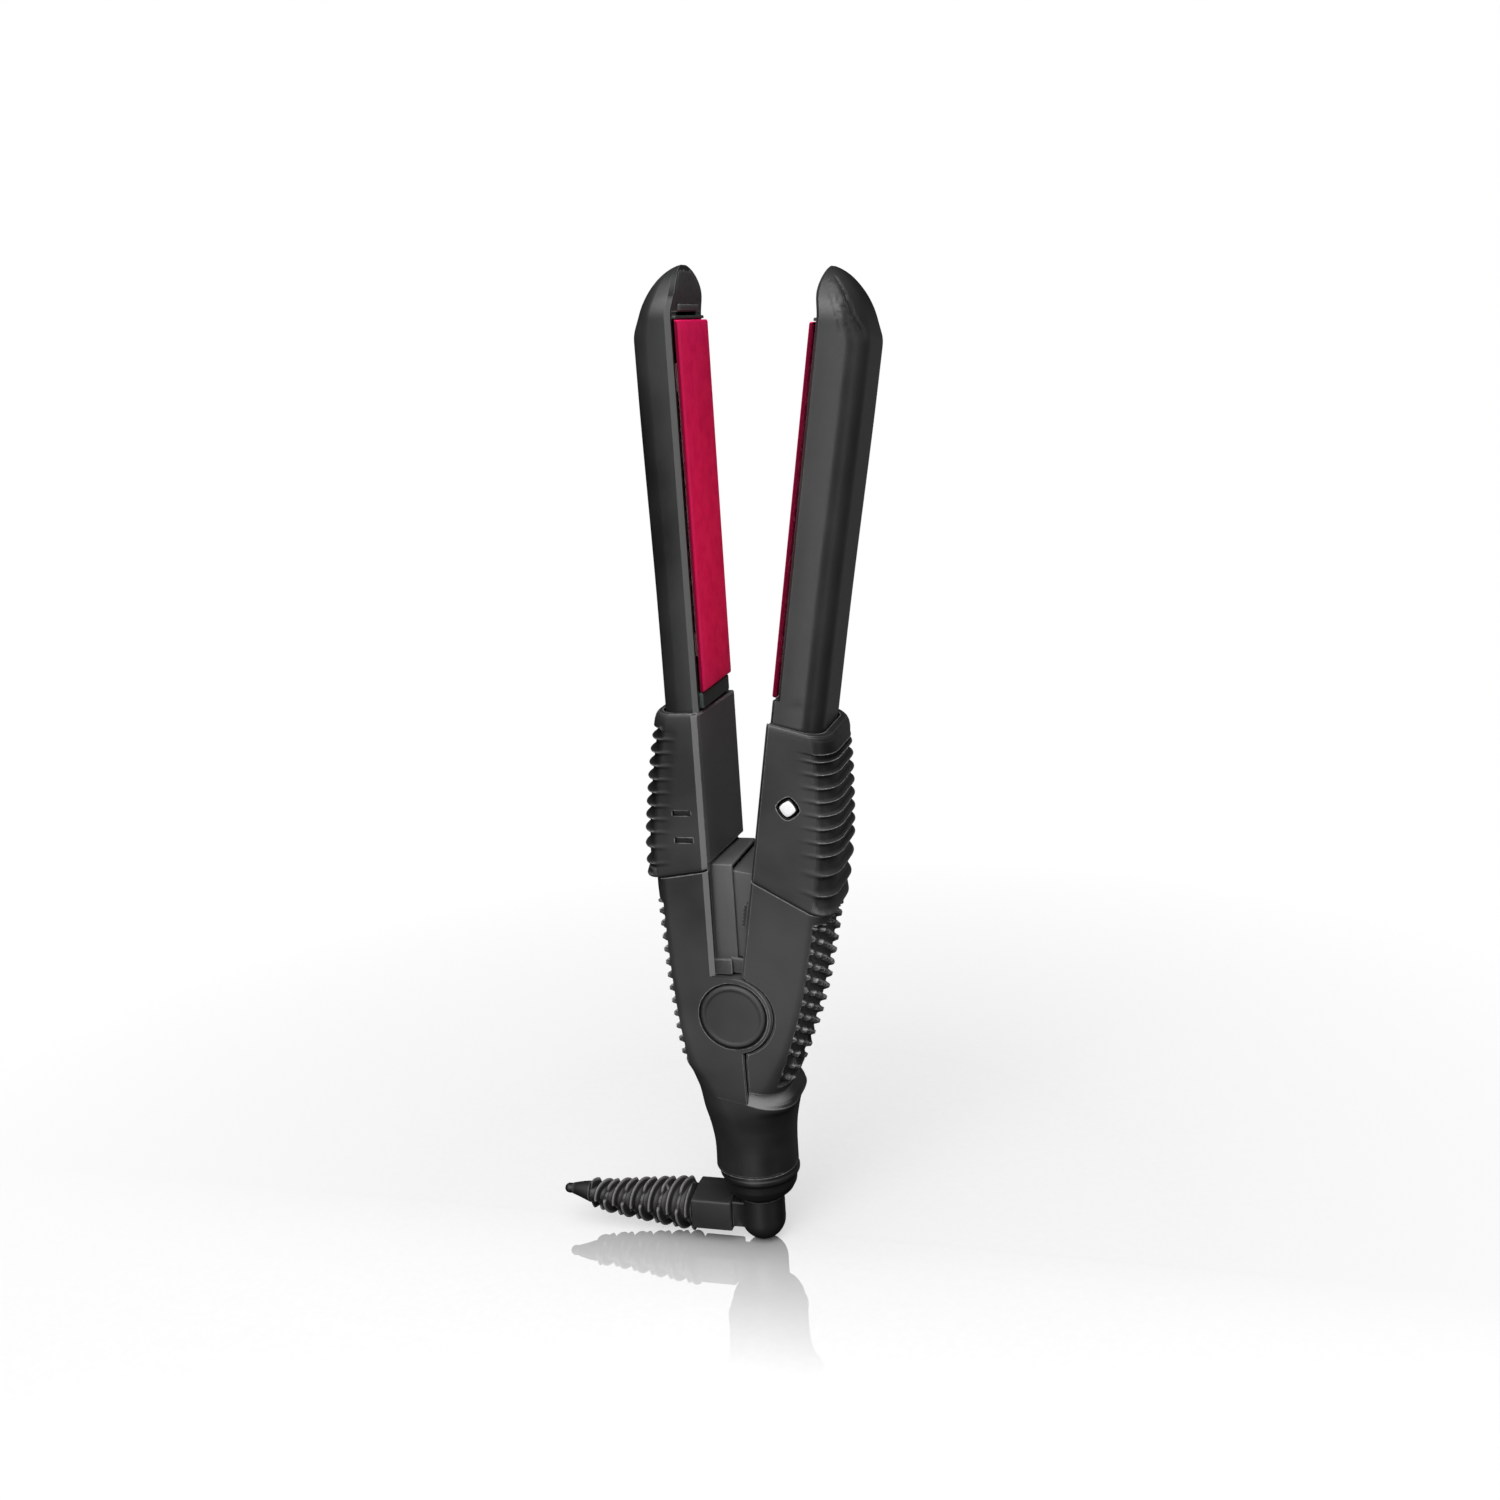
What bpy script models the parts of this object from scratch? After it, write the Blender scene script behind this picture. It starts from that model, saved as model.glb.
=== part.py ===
"""Mini hair iron: two hinged arms with floating flat plates, a slide lock and a swivel cord outlet.

All lengths below are millimetres; place() scales each mesh to metres. An arm's pieces are modelled
with x as the distance outwards from the plane where the plates meet, y across the arm (front is
-y) and z along the arm from the pivot axis. The fixed arm is mirrored to -x. The moving arm is
modelled closed and hangs on an empty that is turned open about the pivot.
"""

import math

import bmesh
import bpy
from mathutils import Matrix, Vector

MM = 0.001
OPEN_ANGLE = math.radians(9.2)

# Pivot
PIN_RADIUS = 3.0
CAP_RADIUS = 8.1
CAP_FACE = 14.7
CAP_THICKNESS = 1.7
CAP_POCKET_RADIUS = 8.7
CAP_POCKET_FLOOR = 12.7
LOBE_RADIUS = 11.0
LOBE_CLEARANCE = 0.4
BOSS_INNER = 11.0
LUG = (7.6, 10.2)

# Depth of each arm's inner side, outwards from the plane through the pivot axis
PLATE_FACE = {"fixed": 2.3, "moving": 1.1}
COVER_FACE = {"fixed": 2.2, "moving": 1.0}
COVER_BACK = {"fixed": 4.1, "moving": 2.5}
SHELL_EDGE = {"fixed": 4.4, "moving": 2.8}

# Arms
WALL = 1.8
BARREL_HALF_WIDTH = 12.5
BARREL_BOTTOM = 66.5
BARREL_OUTER = ((60, 13.2), (100, 13.3), (140, 13.9), (156, 14.1))
BARREL_CORNER = (4.6, 5.8)
RIM_STEP = 1.6
FACE_STEP = 0.4
NOSE_START = 157.0
NOSE_WIDTH_START = 161.5
TIP = 173.0
NOSE_TUCK = 0.7
GRIP_TOP = {"fixed": 74.2, "moving": 73.0}
GRIP_TOP_SLOPE = {"fixed": 0.0, "moving": -0.1}
GRIP_OUTER = ((30, 19.9), (36, 20.7), (42, 20.7), (52, 19.6), (62, 18.1), (70, 16.4), (74, 14.6))
GRIP_HALF_WIDTH = 14.3
GRIP_END = {"fixed": 37.1, "moving": 35.3}
GRIP_END_SLOPE = {"fixed": -0.165, "moving": -0.36}
GRIP_CORNER = (4.8, 9.0)
FIRST_RIB = {"fixed": 38.4, "moving": 36.4}
RIB_PITCH = 3.2
RIB_HEIGHT = 0.7
GRIP_RIBS = 10
CORE_TOP = 66.0
CORE_HALF_WIDTH = 12.8
CORE_CORNER = (4.4, 7.8)
HANDLE_OUTER = {
    "fixed": (
        (-46, 10.8),
        (-38, 10.8),
        (-26, 12.2),
        (-16, 14.6),
        (-5, 16.1),
        (6, 17.1),
        (18, 17.8),
        (34, 18.3),
    ),
    "moving": ((-26, 12.3), (-16, 15.0), (-5, 17.2), (6, 18.6), (18, 19.2), (34, 19.4)),
}
HANDLE_HALF_WIDTH = ((-46, 10.3), (-38, 10.4), (-33, 11.2), (-26, 12.9), (-18, 13.9), (-10, 14.2), (34, 14.2))
HANDLE_CORNER_DEPTH = ((-46, 10.0), (-36, 10.0), (-26, 8.6), (-16, 6.0), (-4, 4.6), (34, 4.2))
HANDLE_CORNER_WIDTH = ((-46, 10.0), (-36, 10.0), (-24, 9.8), (-10, 9.0), (34, 9.0))
COVER_BOTTOM = 11.9
COVER_STEP = 38.1
COVER_STEP_FACE = 3.4

# Base cup of the fixed arm, under the tail of the moving arm
BASE_WALL = 2.0
LEDGE = -19.9
LEDGE_SLOPE = 0.22
LEDGE_BEVEL = (2.9, 1.7)
CUP_OUTER = ((-46, 9.7), (-36, 9.8), (-30, 10.6), (-22, 12.3))
CUP_BOTTOM = -45.0
CUP_FLOOR = -43.2
TAIL_BOTTOM = -19.0

# Telescoping boxes round the spring
OUTER_BOX = dict(half_width=10.6, bottom=12.0, top=37.0, wall=1.2)
INNER_BOX = dict(half_width=8.8, bottom=13.6, top=34.0, wall=1.2)
OUTER_BOX_REACH = -0.3
INNER_BOX_REACH = -5.0
BOX_FLOOR = 8.0
RECESS_FLOOR = 2.2
POCKET_HALF_WIDTH = 11.9
SPRING_RADIUS = 3.4
SPRING_HEIGHT = 24.0
SPRING_TURNS = 6

# Plates and the stack behind them, with depths measured from the plate's face
PLATE_HALF_WIDTH = 11.7
PLATE_BOTTOM = 78.6
PLATE_TOP = 160.0
PLATE_THICKNESS = 1.0
CARRIER_HALF_WIDTH = 10.4
CARRIER_ENDS = (75.0, 162.0)
CARRIER_DEPTH = (2.7, 5.4)
CARRIER_SCREWS = (81.2, 157.0)
PAD_HEIGHTS = (77.2, 160.2)
WINDOW = (84.0, 154.0)
BARREL_CAVITY_TOP = 154.8

# Cord outlet
SWIVEL_RADIUS = 10.1
COLLAR_BOTTOM = -53.6
NECK_RADIUS = 4.7
SHAFT_RADIUS = 3.0
KNOB_RADIUS = 5.7
KNOB_TOP = -53.9
KNOB_DOME = -60.8
CORD_HEIGHT = -58.8
ROOT_BLOCK_REACH = 17.6
ROOT_BLOCK_HALF = (5.5, 4.9)
BOOT_ROOT_RADIUS = 7.0
BOOT_TIP_RADIUS = 3.8
BOOT_RIBS = 11
BOOT_LENGTH = 28.0
CORD_RADIUS = 1.3
CORD_END = 54.0

# Indicator and lock
LENS_CENTRE = (8.5, 54.2)
LENS_HALF = 2.5
WINDOWS = ((8.1, 50.0), (8.0, 43.4))
SLIDER = (22.8, 28.4)
SLIDER_TRAVEL = 2.0

BLACK = ("black_plastic", (0.038, 0.038, 0.04), 0.42, 0.0)
GRIP_BLACK = ("grip_black", (0.034, 0.034, 0.036), 0.5, 0.0)
CARRIER_BLACK = ("carrier_resin", (0.02, 0.026, 0.024), 0.6, 0.0)
SWIVEL_BLACK = ("swivel_black", (0.03, 0.03, 0.032), 0.48, 0.0)
RUBBER = ("cord_rubber", (0.018, 0.016, 0.016), 0.6, 0.0)
PLATE_RED = ("plate_red", (0.36, 0.008, 0.04), 0.35, 0.2)
STEEL = ("steel", (0.55, 0.55, 0.56), 0.3, 1.0)
BRASS = ("brass", (0.72, 0.5, 0.2), 0.3, 1.0)
CERAMIC = ("heater_ceramic", (0.8, 0.78, 0.72), 0.6, 0.0)
SILICONE = ("silicone", (0.55, 0.12, 0.08), 0.7, 0.0)
BOARD_GREEN = ("board_green", (0.03, 0.16, 0.07), 0.5, 0.0)
LAMP_WHITE = ("lamp_white", (0.95, 0.95, 0.95), 0.2, 0.0)
LEAD_WHITE = ("lead_white", (0.75, 0.75, 0.72), 0.6, 0.0)


# ---- curves ----


def slope_at(points, i):
    lower = points[max(i - 1, 0)]
    upper = points[min(i + 1, len(points) - 1)]
    return (upper[1] - lower[1]) / (upper[0] - lower[0])


def curve_at(points, z):
    """Height of a smooth curve through (z, value) points, held level past its ends."""
    if z <= points[0][0]:
        return points[0][1]
    for i in range(len(points) - 1):
        (z0, v0), (z1, v1) = points[i], points[i + 1]
        if z <= z1:
            step = z1 - z0
            t = (z - z0) / step
            rise = v1 - v0
            start = slope_at(points, i) * step
            end = slope_at(points, i + 1) * step
            return v0 + t * (start + t * (3 * rise - 2 * start - end + t * (start + end - 2 * rise)))
    return points[-1][1]


# ---- shapes, each a bmesh in millimetres ----


def loft(rings):
    """A closed skin through loops that have the same number of points."""
    bm = bmesh.new()
    loops = [[bm.verts.new(point) for point in ring] for ring in rings]
    count = len(loops[0])
    for lower, upper in zip(loops, loops[1:]):
        for i in range(count):
            j = (i + 1) % count
            bm.faces.new((lower[i], lower[j], upper[j], upper[i]))
    bm.faces.new(loops[0])
    bm.faces.new(loops[-1])
    bmesh.ops.recalc_face_normals(bm, faces=bm.faces)
    return bm


def box(x, y, z):
    return loft([[(x[0], y[0], h), (x[1], y[0], h), (x[1], y[1], h), (x[0], y[1], h)] for h in z])


def turned(profile, sides=20):
    """A solid turned about Z from (radius, height) points; a radius of 0 closes an end."""
    bm = bmesh.new()
    loops = []
    for radius, height in profile:
        if radius == 0:
            loops.append([bm.verts.new((0, 0, height))])
            continue
        turn = [2 * math.pi * k / sides for k in range(sides)]
        loops.append([bm.verts.new((radius * math.cos(a), radius * math.sin(a), height)) for a in turn])
    closed = profile[0][0] != 0
    pairs = list(zip(loops, loops[1:]))
    if closed:
        pairs.append((loops[-1], loops[0]))
    for lower, upper in pairs:
        for i in range(sides):
            j = (i + 1) % sides
            below = [lower[i % len(lower)], lower[j % len(lower)]]
            above = [upper[j % len(upper)], upper[i % len(upper)]]
            bm.faces.new(list(dict.fromkeys(below + above)))
    bmesh.ops.recalc_face_normals(bm, faces=bm.faces)
    return bm


def rod(radius, ends, sides=16):
    return turned([(0, ends[0]), (radius, ends[0]), (radius, ends[1]), (0, ends[1])], sides)


def ring(inner, outer, ends, sides=20):
    return turned([(inner, ends[0]), (outer, ends[0]), (outer, ends[1]), (inner, ends[1])], sides)


def moved(bm, offset=(0, 0, 0), turn=None):
    if turn is not None:
        bmesh.ops.transform(bm, matrix=turn, verts=bm.verts)
    bmesh.ops.translate(bm, vec=offset, verts=bm.verts)
    return bm


def across(bm, x=0, z=0):
    """A shape made about Z, laid along Y instead."""
    return moved(bm, (x, 0, z), Matrix.Rotation(-math.pi / 2, 4, "X"))


def outwards(bm, y=0, z=0):
    """A shape made about Z, laid along X instead."""
    return moved(bm, (0, y, z), Matrix.Rotation(math.pi / 2, 4, "Y"))


def plate_shape(outline, y):
    """An (x, z) outline given thickness across the arm."""
    return loft([[(x, side, z) for x, z in outline] for side in y])


def tube(path, radius, sides=6):
    """A round rod along a path, with flat ends."""
    points = [Vector(p) for p in path]
    rings = []
    side = None
    for i, point in enumerate(points):
        along = (points[min(i + 1, len(points) - 1)] - points[max(i - 1, 0)]).normalized()
        if side is None:
            side = along.orthogonal().normalized()
        side = (side - along * side.dot(along)).normalized()
        other = along.cross(side)
        turn = [2 * math.pi * k / sides for k in range(sides)]
        rings.append([point + radius * (side * math.cos(a) + other * math.sin(a)) for a in turn])
    return loft(rings)


def quarter(centre, radii, start, steps):
    angles = [math.radians(start + 90 * k / steps) for k in range(steps + 1)]
    return [(centre[0] + radii[0] * math.cos(a), centre[1] + radii[1] * math.sin(a)) for a in angles]


def section(z, inner, outer, half_width, corner, edge=(0.5, 0.5), steps=4, edge_steps=1, slope=0.0):
    """A loop round an arm: an inner side with small edges and an outer side with round corners."""
    points = quarter((outer - corner[0], corner[1] - half_width), corner, -90, steps)
    points += quarter((outer - corner[0], half_width - corner[1]), corner, 0, steps)
    points += quarter((inner + edge[0], half_width - edge[1]), edge, 90, edge_steps)
    points += quarter((inner + edge[0], edge[1] - half_width), edge, 180, edge_steps)
    return [(x, y, z + slope * x) for x, y in points]


# ---- booleans and objects ----


def temporary(bm):
    mesh = bpy.data.meshes.new("tool")
    bm.to_mesh(mesh)
    bm.free()
    tool = bpy.data.objects.new("tool", mesh)
    bpy.context.scene.collection.objects.link(tool)
    tool.hide_render = True
    tool.display_type = "WIRE"
    return tool


def combine(body, tools, operation):
    """The body after each tool is cut from it or joined to it."""
    target = temporary(body)
    others = [temporary(tool) for tool in tools]
    for other in others:
        modifier = target.modifiers.new("combine", "BOOLEAN")
        modifier.operation = operation
        modifier.solver = "EXACT"
        modifier.object = other
    depsgraph = bpy.context.evaluated_depsgraph_get()
    mesh = bpy.data.meshes.new_from_object(target.evaluated_get(depsgraph))
    result = bmesh.new()
    result.from_mesh(mesh)
    bpy.data.meshes.remove(mesh)
    for thing in [target] + others:
        old = thing.data
        bpy.data.objects.remove(thing)
        bpy.data.meshes.remove(old)
    return result


def cut(body, *tools):
    return combine(body, tools, "DIFFERENCE")


def join(body, *tools):
    return combine(body, tools, "UNION")


def material_for(finish):
    name, colour, roughness, metallic = finish
    if name in bpy.data.materials:
        return bpy.data.materials[name]
    material = bpy.data.materials.new(name)
    material.use_nodes = True
    material.diffuse_color = (*colour, 1)
    shader = material.node_tree.nodes["Principled BSDF"]
    shader.inputs["Base Color"].default_value = (*colour, 1)
    shader.inputs["Roughness"].default_value = roughness
    shader.inputs["Metallic"].default_value = metallic
    return material


def place(name, bm, frame, finish, mirror=False):
    """Put a shape in the scene, in metres, on a frame."""
    scale = Matrix.Diagonal((-MM if mirror else MM, MM, MM, 1))
    bmesh.ops.transform(bm, matrix=scale, verts=bm.verts)
    bmesh.ops.recalc_face_normals(bm, faces=bm.faces)
    mesh = bpy.data.meshes.new(name)
    bm.to_mesh(mesh)
    bm.free()
    mesh.shade_smooth()
    mesh.set_sharp_from_angle(angle=math.radians(35))
    mesh.materials.append(material_for(finish))
    piece = bpy.data.objects.new(name, mesh)
    bpy.context.scene.collection.objects.link(piece)
    piece.parent = frame
    return piece


def empty(name, location=(0, 0, 0), parent=None, turn=0.0):
    frame = bpy.data.objects.new(name, None)
    bpy.context.scene.collection.objects.link(frame)
    frame.parent = parent
    frame.location = location
    frame.rotation_euler = (0, turn, 0)
    return frame


# ---- barrel: shell, nose, carrier, plate ----


def nose_half_width(z, inset=0.0):
    rise = max(0.0, (z - NOSE_WIDTH_START) / (TIP + 0.1 - NOSE_WIDTH_START))
    return (BARREL_HALF_WIDTH - inset) * math.sqrt(max(0.0, 1 - rise * rise))


def rim_of(arm):
    return PLATE_FACE[arm] + RIM_STEP


def face_of(arm):
    return PLATE_FACE[arm] + FACE_STEP


def nose_outer(z, face):
    rise = (z - NOSE_START) / (TIP + 0.2 - NOSE_START)
    start = curve_at(BARREL_OUTER, NOSE_START)
    return face + (start - face) * max(0.0, 1 - rise**1.75) ** 0.58


def barrel_rings(arm):
    """Level with the plate's face at both ends, and lower beside the plate so that it can float."""
    rings = []
    face, edge, rim = face_of(arm), SHELL_EDGE[arm], rim_of(arm)
    top = GRIP_TOP[arm]
    stations = [(BARREL_BOTTOM, edge), (top - 0.1, edge), (top + 0.1, face), (PLATE_BOTTOM - 0.6, face)]
    stations += [(z, rim) for z in (PLATE_BOTTOM - 0.4, 100, 125, 150, NOSE_START, PLATE_TOP + 0.4)]
    stations += [(PLATE_TOP + 0.6, face)]
    for z, inner in stations:
        outer = curve_at(BARREL_OUTER, z) if z <= NOSE_START else nose_outer(z, face)
        rings.append(section(z, inner, outer, BARREL_HALF_WIDTH, BARREL_CORNER, (0.9, 0.6)))
    for z in (162.2, 164.5, 167, 169, 170.6, 171.8, 172.5, TIP):
        inner = face + NOSE_TUCK * max(0.0, (z - 168) / (TIP - 168)) ** 2
        outer = nose_outer(z, face)
        half_width = nose_half_width(z)
        corner = ((outer - inner) * 0.5, half_width * 0.7)
        edge = (min(0.9, (outer - inner) * 0.2), min(0.6, half_width * 0.06))
        rings.append(section(z, inner, outer, half_width, corner, edge))
    return rings


def barrel_cavity():
    rings = []
    for z in (BARREL_BOTTOM - 1, 100, 140, BARREL_CAVITY_TOP):
        outer = curve_at(BARREL_OUTER, z) - WALL
        rings.append(section(z, 0, outer, BARREL_HALF_WIDTH - WALL, (3.2, 6.0), (0.2, 0.2)))
    return loft(rings)


def screw_boss(z, depth, wall):
    """A post on the outer wall, with a blind hole that takes a screw from the inner side."""
    profile = [(0, depth + 4.5), (1.3, depth + 4.5), (1.3, depth), (2.3, depth), (2.3, wall), (0, wall)]
    return outwards(turned(profile, 10), z=z)


def screw_hole(z, depth):
    return outwards(rod(1.3, (depth - 1, depth + 4.5), 10), z=z)


def barrel_shell(arm):
    shell = cut(loft(barrel_rings(arm)), barrel_cavity())
    mouth = CARRIER_HALF_WIDTH + 0.4
    back = PLATE_FACE[arm] + CARRIER_DEPTH[1] + 0.3
    end = box((0, back), (-mouth, mouth), (BARREL_CAVITY_TOP - 2, CARRIER_ENDS[1] + 0.5))
    recess = loft(tip_rings(face_of(arm), 0.3))
    shell = cut(shell, end, recess, screw_hole(CARRIER_SCREWS[1], back))
    return join(shell, screw_boss(CARRIER_SCREWS[0], back, 12.6))


def tip_rings(nose_face, gap=0.0):
    """The rounded triangle in the nose's inner face; gap widens it for its recess."""
    rings = []
    face = nose_face - 0.2 - 3 * gap
    back = nose_face + 1.6 + gap
    for z in (163.2 - gap, 165.5, 168.0, 169.8, 171.0 + gap):
        half_width = nose_half_width(z, 1.6) - 0.9 + gap
        corners = ((face, -half_width), (back, -half_width), (back, half_width), (face, half_width))
        rings.append([(x, y, z) for x, y in corners])
    return rings


def tip_insert(arm):
    face = face_of(arm)
    lip = box((face - 0.3, face + 1.0), (-7.5, 7.5), (163.2, 164.4))
    return join(loft(tip_rings(face)), lip)


def plate_carrier():
    y = (-CARRIER_HALF_WIDTH, CARRIER_HALF_WIDTH)
    carrier = box(CARRIER_DEPTH, y, CARRIER_ENDS)
    window = box((0, 9), (-8.4, 8.4), WINDOW)
    pads = [box((0, 4.7), (-5.3, 5.3), (z - 1.0, z + 1.0)) for z in PAD_HEIGHTS]
    heads = [outwards(rod(2.1, (0, 4.1), 12), z=z) for z in CARRIER_SCREWS]
    holes = [outwards(rod(1.3, (0, 9), 10), z=z) for z in CARRIER_SCREWS]
    return cut(carrier, window, *pads, *heads, *holes)


def float_pad(z):
    return box((2.5, 4.4), (-5, 5), (z - 0.7, z + 0.7))


def screw(z, seat):
    """A pan-head screw whose head sits at depth seat, pointing outwards."""
    profile = [(0, seat - 1.1), (1.4, seat - 1.1), (1.8, seat - 0.7), (1.8, seat)]
    profile += [(0.95, seat), (0.95, seat + 4.2), (0, seat + 4.7)]
    return outwards(turned(profile, 10), z=z)


def heating_plate():
    """A smooth slab with rounded long edges, proud of the barrel's rim."""
    radius = 0.8
    rings = []
    for z, inset in ((PLATE_BOTTOM, 0.25), (PLATE_BOTTOM + 0.3, 0), (PLATE_TOP - 0.3, 0), (PLATE_TOP, 0.25)):
        width = PLATE_HALF_WIDTH - inset
        loop = quarter((inset + radius, width - radius), (radius, radius), 90, 3)
        loop += quarter((inset + radius, radius - width), (radius, radius), 180, 3)
        loop += [(PLATE_THICKNESS, -width), (PLATE_THICKNESS, width)]
        rings.append([(x, y, z) for x, y in loop])
    return loft(rings)


def heater():
    return box((PLATE_THICKNESS + 0.2, 3.7), (-6, 6), (WINDOW[0] + 2, WINDOW[1] - 2))


def heater_clip():
    """A sprung strip behind the heater with two turned-up sides."""
    ends = (WINDOW[0] + 8, WINDOW[1] - 8)
    back = box((4.0, 4.6), (-7.2, 7.2), ends)
    sides = [box((2.4, 4.3), (y, y + 0.6), ends) for y in (-7.2, 6.6)]
    return join(back, *sides)


# ---- handle: core, grip sleeve, covers ----


def handle_section(arm, z, inner, **options):
    corner = (curve_at(HANDLE_CORNER_DEPTH, z), curve_at(HANDLE_CORNER_WIDTH, z))
    half_width = curve_at(HANDLE_HALF_WIDTH, z)
    return section(z, inner, curve_at(HANDLE_OUTER[arm], z), half_width, corner, **options)


def core_section(arm, z, slope=0.0, edge_steps=1):
    edge = SHELL_EDGE[arm]
    outer = curve_at(GRIP_OUTER, z + slope * 12) - 2.6
    return section(z, edge, outer, CORE_HALF_WIDTH, CORE_CORNER, edge_steps=edge_steps, slope=slope)


def core_rings(arm, edge_steps=1):
    """The part of a handle that the grip sleeve covers, from the top down to its sloped step."""
    rings = [core_section(arm, z, edge_steps=edge_steps) for z in (CORE_TOP, 58, 50, 43)]
    end, slope, edge = GRIP_END[arm], GRIP_END_SLOPE[arm], SHELL_EDGE[arm]
    rings.append(core_section(arm, end, slope, edge_steps))
    rings.append(handle_section(arm, end - 0.3, edge, slope=slope, edge_steps=edge_steps))
    rings += [handle_section(arm, z, edge, edge_steps=edge_steps) for z in (25, 18)]
    return rings


def handle_cavity(arm, stations, inner=-2):
    """The hollow between the walls, from (height, wall, half width) stations."""
    rings = []
    for z, wall, half_width in stations:
        outer = curve_at(HANDLE_OUTER[arm], z) - wall
        rings.append(section(z, inner, outer, half_width, (4.5, 7.5), (0.4, 0.4), 3))
    return loft(rings)


def spring_pocket():
    """Room in a handle shell for the inner cover's spring box."""
    half = POCKET_HALF_WIDTH
    return box((-2, BOX_FLOOR + 2.0), (-half, half), (OUTER_BOX["bottom"] - 0.4, OUTER_BOX["top"] + 2.0))


def lobe_rings():
    """The fixed handle round the pivot: its inner side follows the lobe, then the base wall."""
    rings = [handle_section("fixed", LOBE_RADIUS + 0.5, SHELL_EDGE["fixed"], edge_steps=3)]
    for degrees in (84, 65, 45, 22, 0, -22, -45, -65):
        z = LOBE_RADIUS * math.sin(math.radians(degrees))
        rings.append(handle_section("fixed", z, -LOBE_RADIUS * math.cos(math.radians(degrees)), edge_steps=3))
    for z, slope in ((-10.8, 0), (-15.5, LEDGE_SLOPE / 2), (LEDGE + 0.4, LEDGE_SLOPE)):
        rings.append(handle_section("fixed", z, -BASE_WALL, slope=slope, edge_steps=3))
    return rings


def fixed_handle_shell():
    shell = loft(core_rings("fixed", 3) + lobe_rings() + cup_rings())
    upper = [(CORE_TOP + 1, 3.9, 11.2), (45, 3.6, 11.2), (32, 3.6, 11.2), (30, 2.0, 12.4)]
    upper += [(LOBE_RADIUS + 0.6, 2.0, 12.4)]
    knuckle = [(LOBE_RADIUS + 0.7, 2.0, BOSS_INNER), (-11.2, 2.0, BOSS_INNER)]
    shell = cut(shell, handle_cavity("fixed", upper), handle_cavity("fixed", knuckle, -14))
    shell = cut(shell, lower_cavity(), cup_cavity())
    neck = rod(NECK_RADIUS + 0.3, (CUP_BOTTOM - 2, CUP_FLOOR + 2))
    return cut(shell, spring_pocket(), *pivot_holes(), neck)


def cup_rings():
    """The base cup, from its bevelled top down to its round bottom."""
    rise, inset = LEDGE_BEVEL
    rings = []
    for z, back in ((LEDGE, inset), (LEDGE - rise, 0)):
        reach = curve_at(CUP_OUTER, z) - back
        far = (8.2, 9.2 - back)
        rings.append(handle_section("fixed", z, -reach, edge=far, edge_steps=3, slope=LEDGE_SLOPE))
    for z in (-28, -33, -38, CUP_BOTTOM):
        reach = curve_at(CUP_OUTER, z)
        far = min(curve_at(HANDLE_CORNER_WIDTH, z), reach - 0.2)
        rings.append(handle_section("fixed", z, -reach, edge=(far, far), edge_steps=3))
    return rings


def lower_cavity():
    """The wire channel beside the tail."""
    rings = []
    for z in (-11.0, -18, -28):
        outer = curve_at(HANDLE_OUTER["fixed"], z) - 2.0
        half = curve_at(HANDLE_HALF_WIDTH, z) - 2.0
        rings.append(section(z, 1.8 - BASE_WALL, outer, half, (6.5, 6.5), (0.4, 0.4), 3))
    return loft(rings)


def cup_cavity():
    rings = []
    for z in (CUP_FLOOR, -38, -33, -27):
        outer = curve_at(HANDLE_OUTER["fixed"], z) - 2.0
        half = curve_at(HANDLE_HALF_WIDTH, z) - 2.0
        reach = curve_at(CUP_OUTER, z) - 2.0
        rings.append(section(z, -reach, outer, half, (7.7, 8), (7.7, 8), 3, 3))
    return loft(rings)


def pivot_holes():
    """The cap pocket in each side, and the pin hole right through."""
    holes = [across(rod(PIN_RADIUS + 0.3, (-15, 15), 20))]
    for side in (-1, 1):
        depth = sorted((side * CAP_POCKET_FLOOR, side * 16))
        holes.append(across(rod(CAP_POCKET_RADIUS, depth, 32)))
    return holes


def moving_handle_shell():
    rings = core_rings("moving")
    cut_out = LOBE_RADIUS + LOBE_CLEARANCE
    for degrees in (72, 50, 30, 10, -10, -30, -50, -65):
        z = cut_out * math.sin(math.radians(degrees))
        rings.append(handle_section("moving", z, cut_out * math.cos(math.radians(degrees))))
    for z in (-14.0, TAIL_BOTTOM):
        rings.append(handle_section("moving", z, tail_inner(z)))
    cavity = [(CORE_TOP + 1, 4.4, 11.2), (45, 4.1, 11.2), (32, 4.1, 11.2), (30, 2.0, 12.4)]
    cavity += [(0, 2.0, 12.4), (-10, 2.0, 12.4), (TAIL_BOTTOM + 1.8, 2.0, 12.0)]
    shell = cut(loft(rings), handle_cavity("moving", cavity), spring_pocket())
    shell = join(shell, *[lug(side) for side in (-1, 1)])
    hole = across(rod(PIN_RADIUS + 0.3, (-15, 15), 20))
    return cut(shell, hole, lens_prism(LENS_HALF + 0.3, (-16, -9)))


def tail_inner(z):
    """The tail's edge in the closed arm, clear of the base wall when the arm is open."""
    clear = BASE_WALL + 0.35
    return (clear - z * math.sin(OPEN_ANGLE)) / math.cos(OPEN_ANGLE)


def lug(side):
    """A hinge ear: an eye round the pin and a web out to the shell's outer wall."""
    eye = [(6.5 * math.cos(math.radians(a)), 6.5 * math.sin(math.radians(a))) for a in range(90, 271, 20)]
    reach = [(curve_at(HANDLE_OUTER["moving"], z) - 2.2, z) for z in (-5.0, 8.0)]
    return plate_shape(eye + reach, sorted(side * y for y in LUG))


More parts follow.
